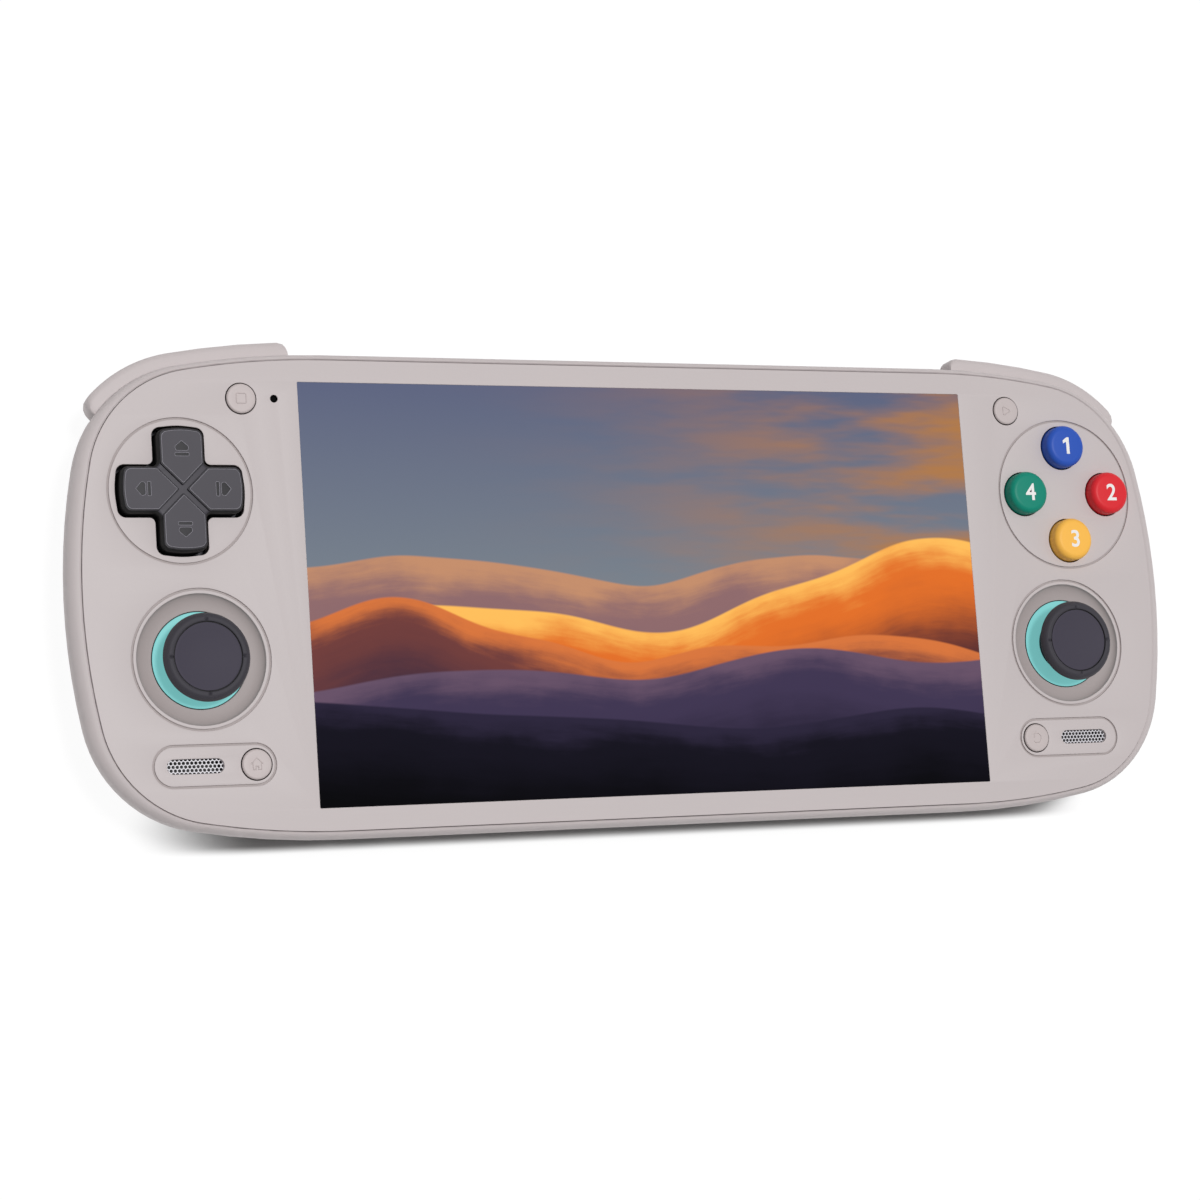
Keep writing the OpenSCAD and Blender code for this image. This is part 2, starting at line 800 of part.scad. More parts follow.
// cross key: rounded plus over a round flange, with a cross of grooves between the arms
module dpad() {
    round_r = 0.9;
    top = front_z + dpad_rise;
    round_rings = [for (a = [0 : 18 : 90])
        let (e = round_r * (1 - cos(a)))
        at_z(top - round_r + round_r * sin(a), cross_ring(dpad_half - e, dpad_arm_half - e,
            dpad_out_r - e, dpad_in_r + e))];
    color(dark_color)
        translate([-dpad_x, dpad_y, 0])
            difference() {
                union() {
                    skin(concat([at_z(dpad_flange_z + 0.3, cross_ring(dpad_half, dpad_arm_half,
                        dpad_out_r, dpad_in_r))], round_rings));
                    translate([0, 0, dpad_flange_z])
                        cylinder(r = dpad_flange_r, h = flange_t);
                }
                for (a = [45, 135])
                    translate([0, 0, top])
                        rotate(a)
                            cube([dpad_arm * sqrt(2), 0.7, 0.8], center = true);
                translate([0, 0, dpad_flange_z - 1])
                    cylinder(r = ball_r + 0.4, h = dpad_pivot_z - dpad_flange_z + 1);
                translate([0, 0, dpad_pivot_z])
                    sphere(ball_r + 0.12);
            }
}

// round face button with a soft edge and a flange under the deck
module face_button(tint, k) {
    soft = 1;
    top = front_z + button_rise;
    bottom = flange_top - flange_t;
    color(tint)
        at_diamond(k)
            translate([0, 0, bottom])
                rotate_extrude() {
                    square([button_r - soft, top - bottom]);
                    square([button_r, top - bottom - soft]);
                    translate([button_r - soft, top - bottom - soft])
                        intersection() {
                            circle(soft);
                            square(soft);
                        }
                    square([button_r + 0.9, flange_t]);
                }
}

module button_right() {
    face_button([0.8, 0.16, 0.2], 0);
}

module button_top() {
    face_button([0.18, 0.28, 0.69], 1);
}

module button_left() {
    face_button([0.14, 0.5, 0.41], 2);
}

module button_bottom() {
    face_button([0.96, 0.73, 0.29], 3);
}

// small round key with a stem that reaches its switch
key_rise = 0.35;
module small_key(x, y, stem_z) {
    soft = 0.35;
    top = front_z + key_rise;
    bottom = flange_top - flange_t;
    color(shell_color)
        translate([x, y, 0])
            rotate_extrude() {
                translate([0, bottom])
                    square([key_r - soft, top - bottom]);
                translate([0, bottom])
                    square([key_r, top - bottom - soft]);
                translate([key_r - soft, top - soft])
                    intersection() {
                        circle(soft);
                        square(soft);
                    }
                translate([0, bottom])
                    square([key_r + 0.6, flange_t]);
                translate([0, stem_z])
                    square([1.1, bottom - stem_z + 0.1]);
            }
}

switch_w = 3.4;
switch_h = 1.7;
plunger_h = 0.6;
menu_stem_z = board_top + switch_h + plunger_h;
low_stem_z = house_z + switch_h + plunger_h;
module select_button() {
    small_key(-menu_x, menu_y, menu_stem_z);
}

module start_button() {
    small_key(menu_x, menu_y, menu_stem_z);
}

module home_button() {
    small_key(-low_x, low_y, low_stem_z);
}

module back_button() {
    small_key(low_x, low_y, low_stem_z);
}

module tact_switch(x, y, z) {
    translate([x, y, z]) {
        translate([0, 0, switch_h / 2])
            cube([switch_w, switch_w, switch_h], center = true);
        translate([0, 0, switch_h - 0.1])
            cylinder(r = 0.9, h = plunger_h + 0.1);
    }
}

module menu_switches() {
    color([0.2, 0.2, 0.22])
        both_sides() {
            tact_switch(menu_x, menu_y, board_top);
            tact_switch(low_x, low_y, house_z);
        }
}

module shoulder_switches() {
    spot = outline_at(60, -bumper_in - 2.4);
    color([0.2, 0.2, 0.22])
        both_sides()
            translate([spot[0], spot[1], board_top])
                rotate([0, 0, 60]) {
                    translate([-1.2, -2, 0])
                        cube([2.4, 4, 2.6]);
                    translate([1.1, 0, 1.3])
                        rotate([0, 90, 0])
                            cylinder(r = 0.7, h = 0.5);
                }
}

// brackets behind the keys on the top edge, with the rocker's pin
rocker_y = edge_y - rocker_drop - 0.45;
rocker_pin_r = 0.5;
module edge_switches() {
    plate_t = 0.9;
    back_y = body_h / 2 - edge_draw(floor_t) - wall - floor_round - plate_t - 2 * gap;
    plate_h = main_z - floor_t - 2 * gap;
    reach_y = back_y + plate_t - 0.1;
    power_y = edge_y - power_drop - edge_flange_t - 0.5;
    color([0.2, 0.2, 0.22])
        union() {
            translate([power_x - 3, back_y, floor_t + gap])
                cube([6, plate_t, plate_h]);
            translate([power_x, reach_y, edge_z])
                rotate([-90, 0, 0])
                    cylinder(r = 0.8, h = power_y - reach_y);
            translate([volume_x - 7, back_y, floor_t + gap])
                cube([14, plate_t, plate_h]);
            for (s = [-1, 1])
                translate([volume_x, (reach_y + rocker_y) / 2, edge_z + s * (edge_flange_r + 0.3)])
                    cube([2.4, rocker_y - reach_y, 0.4], center = true);
            translate([volume_x, rocker_y, edge_z])
                cylinder(r = rocker_pin_r, h = 2 * edge_flange_r + 1, center = true);
        }
}

// parts of one thumb stick, drawn on the right
dome_r = 6.1;
dome_t = 0.7;
dome_reach = 60;
stem_r = 1.5;
stem_top = pivot_depth + 2.3;
hub_pin_r = 0.7;
yoke_pin_r = 0.8;
yoke_h = 1.7;
yoke_in = 2.9;
yoke_out = 4.7;
house_half = 8.2;
house_in = 6.45;
click = 0.5;

module at_stick() {
    translate([stick_x, stick_y, pivot_z])
        children();
}

module stick_housing() {
    color([0.13, 0.13, 0.14])
        at_stick()
            difference() {
                translate([-house_half, -house_half, house_z - pivot_z])
                    cube([2 * house_half, 2 * house_half, pivot_z - house_z + 1.3]);
                translate([-house_in, -house_in, house_z - pivot_z + 0.9])
                    cube([2 * house_in, 2 * house_in, 10]);
                rotate([0, 90, 0])
                    cylinder(r = yoke_pin_r + pin_gap, h = 3 * house_half, center = true);
            }
}

module stick_yoke() {
    color(steel_color)
        at_stick()
            difference() {
                union() {
                    cylinder(r = yoke_out, h = yoke_h, center = true);
                    rotate([0, 90, 0])
                        cylinder(r = yoke_pin_r, h = 2 * house_half - 0.4, center = true);
                }
                cylinder(r = yoke_in, h = 3 * yoke_h, center = true);
                rotate([90, 0, 0])
                    cylinder(r = hub_pin_r + pin_gap, h = 3 * yoke_out, center = true);
            }
}

module stick_stem() {
    color(steel_color)
        at_stick()
            union() {
                translate([0, 0, -1.2])
                    cylinder(r = stem_r, h = stem_top + 1.2);
                rotate([90, 0, 0])
                    cylinder(r = hub_pin_r, h = 2 * yoke_out - 0.2, center = true);
            }
}

// dished thumb cap with a rolled rim and four notches, over a dome that hides the opening
function dome_arc(r, a0, a1) = [for (i = [0 : 8])
    let (a = a0 + (a1 - a0) * i / 8)
    r * [sin(a), cos(a)]];
module stick_cap() {
    base = pivot_depth;
    rim = base + cap_rise;
    dish_r = cap_r - 1.7;
    neck_r = 2.7;
    top_side = [
        [0, rim - 0.75], [dish_r - 1.6, rim - 0.7], [dish_r - 0.5, rim - 0.5], [dish_r, rim - 0.2],
        [dish_r + 0.45, rim - 0.03], [dish_r + 0.8, rim], [dish_r + 1.15, rim - 0.1],
        [dish_r + 1.45, rim - 0.35],
        [cap_r - 0.05, rim - 0.75], [cap_r, rim - 1.1], [cap_r - 0.12, rim - 1.5], [cap_r - 0.4, rim - 1.8],
        [cap_r - 0.8, rim - 1.95]
    ];
    neck = [[neck_r + 0.4, rim - 2.05], [neck_r, rim - 2.4]];
    dome_top = asin(neck_r / dome_r);
    outside = dome_arc(dome_r, dome_top, dome_reach);
    inside = dome_arc(dome_r - dome_t, dome_reach, 20);
    bore_r = stem_r + pin_gap;
    bore_top = stem_top + click + gap;
    color(dark_color)
        at_stick()
            difference() {
                rotate_extrude()
                    polygon(concat(top_side, neck, outside, inside, [[bore_r, base - 1], [bore_r, bore_top],
                        [0, bore_top]]));
                for (a = [0 : 90 : 270])
                    rotate(a)
                        translate([dish_r + 0.8, 0, rim])
                            cube([2.2, 0.7, 0.4], center = true);
            }
}

// lit ring on the floor of the bowl
module stick_light() {
    top = front_z - 1.15;
    low = deck_top - 0.6;
    hole = dome_r + 0.35;
    bevel = 0.45;
    r_top = sqrt(hole * hole - pow(top - bevel - pivot_z, 2));
    r_low = sqrt(hole * hole - pow(low - pivot_z, 2));
    color(teal_color)
        translate([stick_x, stick_y, 0])
            rotate_extrude()
                polygon([[r_low, low], [bowl_floor_r + 1.1, low], [bowl_floor_r + 1.1, deck_top],
                    [bowl_floor_r - 0.1, deck_top], [bowl_floor_r - 0.1, top - 0.1],
                    [bowl_floor_r - 0.25, top], [r_top + bevel, top], [r_top, top - bevel]]);
}

module right_stick_housing() {
    stick_housing();
}

module left_stick_housing() {
    left_side()
        stick_housing();
}

module right_yoke() {
    stick_yoke();
}

module left_yoke() {
    left_side()
        stick_yoke();
}

module right_stick() {
    stick_stem();
}

module left_stick() {
    left_side()
        stick_stem();
}

module right_stick_cap() {
    stick_cap();
}

module left_stick_cap() {
    left_side()
        stick_cap();
}

module right_stick_light() {
    stick_light();
}

module left_stick_light() {
    left_side()
        stick_light();
}

module speaker() {
    color([0.12, 0.12, 0.13])
        translate([grille_x, low_y, flange_top - 4.4])
            difference() {
                translate([-6.1, -4, 0])
                    cube([12.2, 8, 4.4]);
                translate([0, 0, 3.6])
                    linear_extrude(2)
                        stadium(10.6, 3);
            }
}

module right_speaker() {
    speaker();
}

module left_speaker() {
    left_side()
        speaker();
}

// perforated strip: three rows of holes on a triangular pitch
module grille() {
    pitch = 0.78;
    hole_r = 0.27;
    top = front_z - 0.55;
    color(steel_color)
        translate([grille_x, low_y, 0])
            difference() {
                union() {
                    translate([0, 0, deck_top - 0.5])
                        linear_extrude(top - deck_top + 0.5)
                            stadium(grille_len - 0.12, grille_h / 2 - 0.06);
                    translate([0, 0, deck_top - 0.5])
                        linear_extrude(0.5)
                            stadium(grille_len + 1.4, grille_h / 2 + 0.7);
                }
                translate([0, 0, deck_top - 1])
                    linear_extrude(top - deck_top + 0.6)
                        stadium(grille_len - 0.9, grille_h / 2 - 0.4);
                for (row = [-1, 0, 1])
                    for (i = [-5 : 4 + abs(row == 0 ? 1 : 0)])
                        translate([(i + (row == 0 ? 0 : 0.5)) * pitch, row * pitch * 0.866, top - 1])
                            cylinder(r = hole_r, h = 2);
            }
}

module right_grille() {
    grille();
}

module left_grille() {
    left_side()
        grille();
}

module microphone() {
    color(steel_color)
        translate([-mic_x, mic_y, deck_z])
            cylinder(r = 1.25, h = deck_t);
}

// bumper: rounded band along the corner, its ends rolled in
function roll(s, r) = s >= r ? 0 : r - sqrt(r * r - (r - s) * (r - s));
function bumper_section(a, out) =
    let (e = outline_at(a, 0))
    let (soft = min(1, (out + bumper_in) * 0.45))
    let (edge = concat(
        [[-bumper_in, bumper_z0], [out - soft, bumper_z0]],
        [for (t = [-60 : 30 : 60]) [out - soft + soft * cos(t), t < 0
            ? bumper_z0 + soft + soft * sin(t) : bumper_z1 - soft + soft * sin(t)]],
        [[out - soft, bumper_z1], [-bumper_in, bumper_z1]]))
    [for (p = edge) [(e + p[0] * ray(a))[0], (e + p[0] * ray(a))[1], p[1]]];

module bumper() {
    near_r = 1.5;
    far_r = 2.2;
    near = [for (t = [10, 30, 55, 90]) near_r * (1 - cos(t))];
    far = [for (t = [90, 65, 40, 20, 5]) far_r * (1 - cos(t))];
    start = bumper_from - near_r / reach_at(bumper_from) * 180 / PI;
    stop = bumper_to + far_r / reach_at(bumper_to) * 180 / PI;
    steps = 16;
    sections = concat(
        [for (s = near) bumper_section(bumper_from - s / reach_at(bumper_from) * 180 / PI,
            bumper_rise - roll(s, near_r))],
        [for (i = [1 : steps - 1]) bumper_section(start + (stop - start) * i / steps, bumper_rise)],
        [for (s = far) bumper_section(bumper_to + s / reach_at(bumper_to) * 180 / PI,
            bumper_rise - roll(s, far_r))]);
    color(shell_color)
        difference() {
            union() {
                skin(sections);
                translate([bumper_pin[0], bumper_pin[1], bumper_z0 + 0.4])
                    cylinder(r = 2.2, h = deck_z - bumper_z0 - 0.8);
                translate([bumper_pin[0] - 1.5, bumper_pin[1], bumper_z0 + 0.4])
                    cube([3, 2.6, deck_z - bumper_z0 - 0.8]);
            }
            translate([bumper_pin[0], bumper_pin[1], 0])
                cylinder(r = bumper_pin_r + pin_gap, h = 2 * front_z);
        }
}

module right_bumper() {
    bumper();
}

module left_bumper() {
    left_side()
        bumper();
}

// trigger: band behind the bumper that carries the back edge's rounding, on two lugs
function trigger_section(a, draw) =
    let (e = outline_at(a, 0))
    let (h = trigger_z1 - trigger_z0)
    let (inside = draw - trigger_in)
    let (edge = [[inside, 0], [-0.65, 0.02], [-0.45, 0.12], [-0.1, 0.28], [0.2, 0.48], [0.5, 0.68],
        [0.6, 0.84], [0.5, 0.94], [0.15, 1], [inside, 1]])
    [for (p = edge)
        let (q = e + (p[0] - draw) * ray(a))
        [q[0], q[1], trigger_z0 + p[1] * h]];

module trigger() {
    end_r = 1;
    ends = [for (t = [15, 45, 90]) end_r * (1 - cos(t))];
    start = trigger_from - end_r / reach_at(trigger_from) * 180 / PI;
    stop = trigger_to + end_r / reach_at(trigger_to) * 180 / PI;
    steps = 14;
    sections = concat(
        [for (s = ends)
            let (turn = s / reach_at(trigger_from) * 180 / PI)
            trigger_section(trigger_from - turn, roll(s, end_r))],
        [for (i = [1 : steps - 1]) trigger_section(start + (stop - start) * i / steps, 0)],
        [for (i = [2 : -1 : 0])
            let (turn = ends[i] / reach_at(trigger_to) * 180 / PI)
            trigger_section(trigger_to + turn, roll(ends[i], end_r))]);
    color(shell_color)
        difference() {
            union() {
                skin(sections);
                at_trigger_axis()
                    for (s = [-1, 1])
                        translate([s * lug_at, 0, 0]) {
                            rotate([0, 90, 0])
                                cylinder(r = lug_r, h = lug_w, center = true);
                            translate([-lug_w / 2, 0, -lug_r])
                                cube([lug_w, 4.2, 2 * lug_r]);
                        }
            }
            at_trigger_axis()
                rotate([0, 90, 0])
                    cylinder(r = trigger_pin_r + pin_gap, h = 2 * ear_at, center = true);
        }
}

module right_trigger() {
    trigger();
}

module left_trigger() {
    left_side()
        trigger();
}

module trigger_pins() {
    color(steel_color)
        both_sides()
            at_trigger_axis()
                rotate([0, 90, 0])
                    cylinder(r = trigger_pin_r, h = 2 * ear_at + 2.2, center = true);
}

// coil round the trigger's pin
coil_turns = 4;
coil_steps = 10;
coil_len = 5.6;
coil_mean_r = 1.15;
wire_r = 0.18;
function coil_ring(i) =
    let (a = 360 * i / coil_steps)
    let (x = -coil_len / 2 + coil_len * i / (coil_turns * coil_steps))
    [for (t = [0 : 72 : 288])
        let (r = coil_mean_r + wire_r * cos(t))
        [x + wire_r * sin(t), r * cos(a), r * sin(a)]];
module trigger_springs() {
    color(steel_color)
        both_sides()
            at_trigger_axis()
                skin([for (i = [0 : coil_turns * coil_steps]) coil_ring(i)]);
}

// keys on the top edge
module power_button() {
    color(shell_color)
        translate([power_x, edge_y, edge_z])
            rotate([90, 0, 0])
                union() {
                    translate([0, 0, -edge_key_rise])
                        linear_extrude(edge_key_rise + power_drop + edge_flange_t)
                            stadium(8.6, 1.2);
                    translate([0, 0, power_drop])
                        linear_extrude(edge_flange_t)
                            stadium(10.4, edge_flange_r);
                }
}

module volume_rocker() {
    color(shell_color)
        difference() {
            union() {
                translate([volume_x, edge_y, edge_z])
                    rotate([90, 0, 0]) {
                        translate([0, 0, -edge_key_rise])
                            linear_extrude(edge_key_rise + rocker_drop + edge_flange_t)
                                stadium(20, 1.15);
                        translate([0, 0, rocker_drop])
                            linear_extrude(edge_flange_t)
                                stadium(21.6, edge_flange_r);
                    }
                translate([volume_x, rocker_y, edge_z])
                    cylinder(r = 1.2, h = 2.4, center = true);
            }
            translate([volume_x, rocker_y, 0])
                cylinder(r = rocker_pin_r + pin_gap, h = front_z);
        }
}

module usb_c_socket() {
    depth = 7.2;
    color(steel_color)
        translate([0, 0.5 + edge_draw(usb_z) - body_h / 2, usb_z])
            rotate([-90, 0, 0])
                union() {
                    difference() {
                        linear_extrude(depth)
                            stadium(8.94, 1.63);
                        translate([0, 0, -1])
                            linear_extrude(depth)
                                stadium(8.34, 1.28);
                    }
                    translate([-3.3, -0.35, 0.8])
                        cube([6.6, 0.7, depth - 1]);
                }
}

module headphone_jack() {
    barrel = 4;
    color([0.12, 0.12, 0.13])
        translate([jack_x, jack_end, jack_z])
            rotate([90, 0, 0])
                difference() {
                    union() {
                        translate([0, 0, jack_len - barrel])
                            cylinder(r = jack_r, h = barrel);
                        translate([-3.2, -jack_box / 2, 0])
                            cube([6.4, jack_box, jack_len - barrel + 0.2]);
                    }
                    translate([0, 0, 1.8])
                        cylinder(r = jack_bore_r, h = jack_len);
                }
}

module card_socket() {
    color(steel_color)
        translate([card_x, edge_draw(card_z) + wall + 0.4 - body_h / 2, card_z])
            difference() {
                translate([-7, 0, -0.95])
                    cube([14, 15, 1.9]);
                translate([-5.6, -1, -0.5])
                    cube([11.2, 14, 1]);
            }
}

module case_screws() {
    color(steel_color)
        for (p = screw_spots)
            translate([p[0], p[1], head_z])
                union() {
                    difference() {
                        cylinder(r = head_r, h = head_h);
                        for (a = [0, 90])
                            rotate(a)
                                cube([2.2, 0.5, 1.2], center = true);
                    }
                    translate([0, 0, head_h])
                        cylinder(r = screw_r, h = deck_z - 1.8 - head_z - head_h);
                }
}

front_panel();
front_frame();
rear_shell();
display_glass();
display_module();
midframe();
battery();
mainboard();
heat_spreader();
fan_housing();
fan_rotor();
left_control_board();
right_control_board();
left_stick_board();
right_stick_board();
dpad_membrane();
face_button_membrane();
menu_switches();
shoulder_switches();
edge_switches();
dpad_pivot_post();
dpad_pivot_ball();
dpad();
button_top();
button_left();
button_right();
button_bottom();
select_button();
start_button();
home_button();
back_button();
left_stick_housing();
right_stick_housing();
left_yoke();
right_yoke();
left_stick();
right_stick();
left_stick_cap();
right_stick_cap();
left_stick_light();
right_stick_light();
left_speaker();
right_speaker();
left_grille();
right_grille();
microphone();
left_bumper();
right_bumper();
left_trigger();
right_trigger();
trigger_pins();
trigger_springs();
power_button();
volume_rocker();
usb_c_socket();
headphone_jack();
card_socket();
case_screws();
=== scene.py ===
"""Looks of a handheld game console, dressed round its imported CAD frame.

Sizes in the classes are millimetres. Meshes are made in metres, in the frame of the part:
X runs to the right, Y to the shoulder keys and Z out of the screen.
"""

import json
import logging
import math
from dataclasses import dataclass, field
from enum import Enum
from typing import Any, Callable, Protocol, Sequence

import bmesh
import bpy
import numpy as np
from mathutils import Matrix

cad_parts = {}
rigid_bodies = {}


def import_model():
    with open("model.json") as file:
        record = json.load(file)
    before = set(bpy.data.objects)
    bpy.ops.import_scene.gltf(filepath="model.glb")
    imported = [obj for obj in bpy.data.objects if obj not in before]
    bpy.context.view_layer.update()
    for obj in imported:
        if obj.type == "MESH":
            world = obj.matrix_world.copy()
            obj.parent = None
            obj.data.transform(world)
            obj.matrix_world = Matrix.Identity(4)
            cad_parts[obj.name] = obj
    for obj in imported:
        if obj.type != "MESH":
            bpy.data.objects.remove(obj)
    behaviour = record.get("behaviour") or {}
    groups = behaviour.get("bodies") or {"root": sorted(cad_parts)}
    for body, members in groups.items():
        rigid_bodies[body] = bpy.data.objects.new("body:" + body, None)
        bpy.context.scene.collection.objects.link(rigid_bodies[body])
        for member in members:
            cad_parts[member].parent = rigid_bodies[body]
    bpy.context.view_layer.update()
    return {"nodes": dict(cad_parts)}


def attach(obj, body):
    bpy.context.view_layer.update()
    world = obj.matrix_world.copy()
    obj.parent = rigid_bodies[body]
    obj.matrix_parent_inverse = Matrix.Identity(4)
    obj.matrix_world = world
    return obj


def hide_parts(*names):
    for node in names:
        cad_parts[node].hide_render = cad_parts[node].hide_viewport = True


LOG = logging.getLogger("console")
MM = 0.001
WELD = 0.0002
SHARP = 38.0
FINE = 128
FIGURE_SHARE = 0.72
Points = np.ndarray
Colour = tuple[float, float, float]


class Side(Enum):
    """Left or right hand of the case."""

    LEFT = -1
    RIGHT = 1

    @property
    def label(self) -> str:
        """Name that the solids of this side start with."""
        return self.name.lower()


class Mark(Enum):
    """Sign moulded on a small key."""

    SQUARE = "square"
    TRIANGLE = "triangle"
    HOUSE = "house"
    RETURN = "return"


# finishes


def linear(colour: Colour, share: float = 1.0) -> tuple[float, float, float, float]:
    """Turns a display colour into scene light.

    Args:
        colour: Red, green and blue from 0 to 255.
        share: Factor on the light.

    Returns:
        Linear colour with an alpha of 1.
    """
    light = []
    for value in colour:
        v = value / 255
        light.append(share * (v / 12.92 if v <= 0.04045 else ((v + 0.055) / 1.055) ** 2.4))
    return light[0], light[1], light[2], 1.0


class Wiring:
    """Node tree with short calls to add and join nodes."""

    def __init__(self, tree: bpy.types.NodeTree) -> None:
        """Starts on that tree, emptied."""
        self.tree = tree
        tree.nodes.clear()

    def add(self, kind: str, values: dict[Any, Any] | None = None, **settings: Any) -> bpy.types.Node:
        """Adds one node.

        Args:
            kind: Blender's name of the node.
            values: Input sockets by name or number, with a value or another socket.
            settings: Properties of the node.

        Returns:
            The new node.
        """
        node = self.tree.nodes.new(kind)
        for key, value in settings.items():
            setattr(node, key, value)
        for key, value in (values or {}).items():
            self.feed(node.inputs[key], value)
        return node

    def feed(self, socket: bpy.types.NodeSocket, value: Any) -> None:
        """Joins a socket to another one, or sets its value."""
        if isinstance(value, bpy.types.NodeSocket):
            self.tree.links.new(value, socket)
        else:
            socket.default_value = value

    def sum(self, operation: str, *values: Any) -> bpy.types.NodeSocket:
        """Works out one step of arithmetic and gives its socket."""
        node = self.add("ShaderNodeMath", dict(enumerate(values)), operation=operation)
        return node.outputs[0]


class NodeSheet(Wiring):
    """Wiring of one material: its skin and the textures on it."""

    def __init__(self, name: str) -> None:
        """Starts an empty material of that name."""
        self.material = bpy.data.materials.new(name)
        self.material.use_nodes = True
        super().__init__(self.material.node_tree)
        self.skin = self.add("ShaderNodeBsdfPrincipled")
        self.add("ShaderNodeOutputMaterial", {"Surface": self.skin.outputs["BSDF"]})
        self.place = self.add("ShaderNodeTexCoord").outputs["Object"]

    def noise(self, width: float, detail: float = 2.0, seed: float = 0.0) -> bpy.types.NodeSocket:
        """Gives a noise between 0 and 1.

        Args:
            width: Size of one blotch in millimetres.
            detail: Octaves of finer noise.
            seed: Place along the fourth axis.

        Returns:
            Socket of the noise.
        """
        values = {"Vector": self.place, "W": seed, "Scale": 1 / (width * MM), "Detail": detail}
        return self.add("ShaderNodeTexNoise", values, noise_dimensions="4D").outputs["Fac"]

    def blend(self, share: Any, first: Any, second: Any) -> bpy.types.NodeSocket:
        """Mixes two colours by a share from 0 to 1."""
        node = self.add("ShaderNodeMix", {0: share, 6: first, 7: second}, data_type="RGBA")
        return node.outputs[2]

    def spread(self, value: Any, low: float, high: float) -> bpy.types.NodeSocket:
        """Maps 0 to 1 onto low to high."""
        node = self.add("ShaderNodeMapRange", {"Value": value, "To Min": low, "To Max": high})
        return node.outputs[0]

    def dent(self, height: Any, depth: float, strength: float = 1.0) -> None:
        """Roughens the skin by a height, with its depth in millimetres."""
        node = self.add("ShaderNodeBump", {"Height": height, "Distance": depth * MM, "Strength": strength})
        self.feed(self.skin.inputs["Normal"], node.outputs[0])

    def set(self, **values: Any) -> None:
        """Sets sockets of the skin, with underscores for the spaces in their names."""
        for key, value in values.items():
            self.feed(self.skin.inputs[key.replace("_", " ")], value)


class Finish(Protocol):
    """Anything that can make a material."""

    name: str

    def build(self) -> bpy.types.Material:
        """Makes the material."""


@dataclass(frozen=True)
class Moulded:
    """Moulded plastic, silicone or rubber with a fine spark-eroded grain."""

    name: str
    colour: Colour
    rough: float = 0.5
    grain: float = 0.2
    depth: float = 0.004
    mottle: float = 0.03
    gloss: float = 0.4
    sheen: float = 0.0

    def build(self) -> bpy.types.Material:
        """Makes the material from broad mottling, fine specks and a grain."""
        sheet = NodeSheet(self.name)
        broad = sheet.noise(14, 2)
        specks = sheet.noise(0.5, 1, 3)
        share = sheet.sum("MULTIPLY_ADD", specks, 0.4, sheet.sum("MULTIPLY", broad, 0.6))
        low, high = linear(self.colour, 1 - self.mottle), linear(self.colour, 1 + self.mottle)
        sheet.set(Base_Color=sheet.blend(share, low, high))
        sheet.set(Roughness=sheet.spread(broad, self.rough - 0.04, self.rough + 0.04))
        sheet.set(Specular_IOR_Level=self.gloss, Sheen_Weight=self.sheen)
        sheet.dent(sheet.noise(self.grain, 1, 7), self.depth)
        return sheet.material


@dataclass(frozen=True)
class Metal:
    """Bare metal with drawn or rolled streaks along X."""

    name: str
    colour: Colour
    rough: float = 0.3
    streak: float = 0.15

    def build(self) -> bpy.types.Material:
        """Makes the material from stretched noise."""
        sheet = NodeSheet(self.name)
        stretch = sheet.add("ShaderNodeMapping", {"Vector": sheet.place, "Scale": (0.05, 1, 1)})
        values = {"Vector": stretch.outputs[0], "Scale": 1 / (self.streak * MM), "Detail": 3.0}
        lines = sheet.add("ShaderNodeTexNoise", values).outputs["Fac"]
        sheet.set(Base_Color=sheet.blend(lines, linear(self.colour, 0.9), linear(self.colour, 1.06)))
        sheet.set(Roughness=sheet.spread(lines, self.rough - 0.06, self.rough + 0.08), Metallic=1.0)
        sheet.dent(lines, 0.0015)
        return sheet.material


@dataclass(frozen=True)
class Diffuser:
    """Milky plastic over a weak light."""

    name: str
    colour: Colour
    glow: float = 0.75
    skin: float = 0.35

    def build(self) -> bpy.types.Material:
        """Makes the material with light spots under a cloudy skin."""
        sheet = NodeSheet(self.name)
        cloud = sheet.noise(3, 3)
        lit, plain = (sheet.blend(cloud, linear(self.colour, 0.95 * share), linear(self.colour, 1.05 * share))
                      for share in (1.0, self.skin))
        sheet.set(Base_Color=plain, Emission_Color=lit, Emission_Strength=self.glow)
        sheet.set(Roughness=sheet.spread(cloud, 0.42, 0.5), Specular_IOR_Level=0.3)
        sheet.dent(sheet.noise(0.25, 1, 2), 0.002)
        return sheet.material


@dataclass(frozen=True)
class BoardMask:
    """Solder mask with faint copper tracks under it."""

    name: str
    colour: Colour

    def build(self) -> bpy.types.Material:
        """Makes the material from a net of cells."""
        sheet = NodeSheet(self.name)
        values = {"Vector": sheet.place, "Scale": 1 / (1.6 * MM)}
        net = sheet.add("ShaderNodeTexVoronoi", values, distance="MANHATTAN", feature="F1")
        bands = sheet.sum("FRACT", sheet.sum("MULTIPLY", net.outputs["Distance"], 3))
        tracks = sheet.sum("GREATER_THAN", bands, 0.6)
        sheet.set(Base_Color=sheet.blend(tracks, linear(self.colour), linear(self.colour, 1.6)))
        sheet.set(Roughness=sheet.spread(sheet.noise(2), 0.3, 0.42), Specular_IOR_Level=0.5)
        sheet.dent(tracks, 0.01, 0.4)
        return sheet.material


@dataclass(frozen=True)
class Dune:
    """One rolling band of the picture: heights and widths as shares of the screen's height."""

    level: float
    swing: float
    width: float
    seed: float
    crest: Colour
    flank: Colour
    foot: Colour
    fade: float
    tilt: float = 0.0


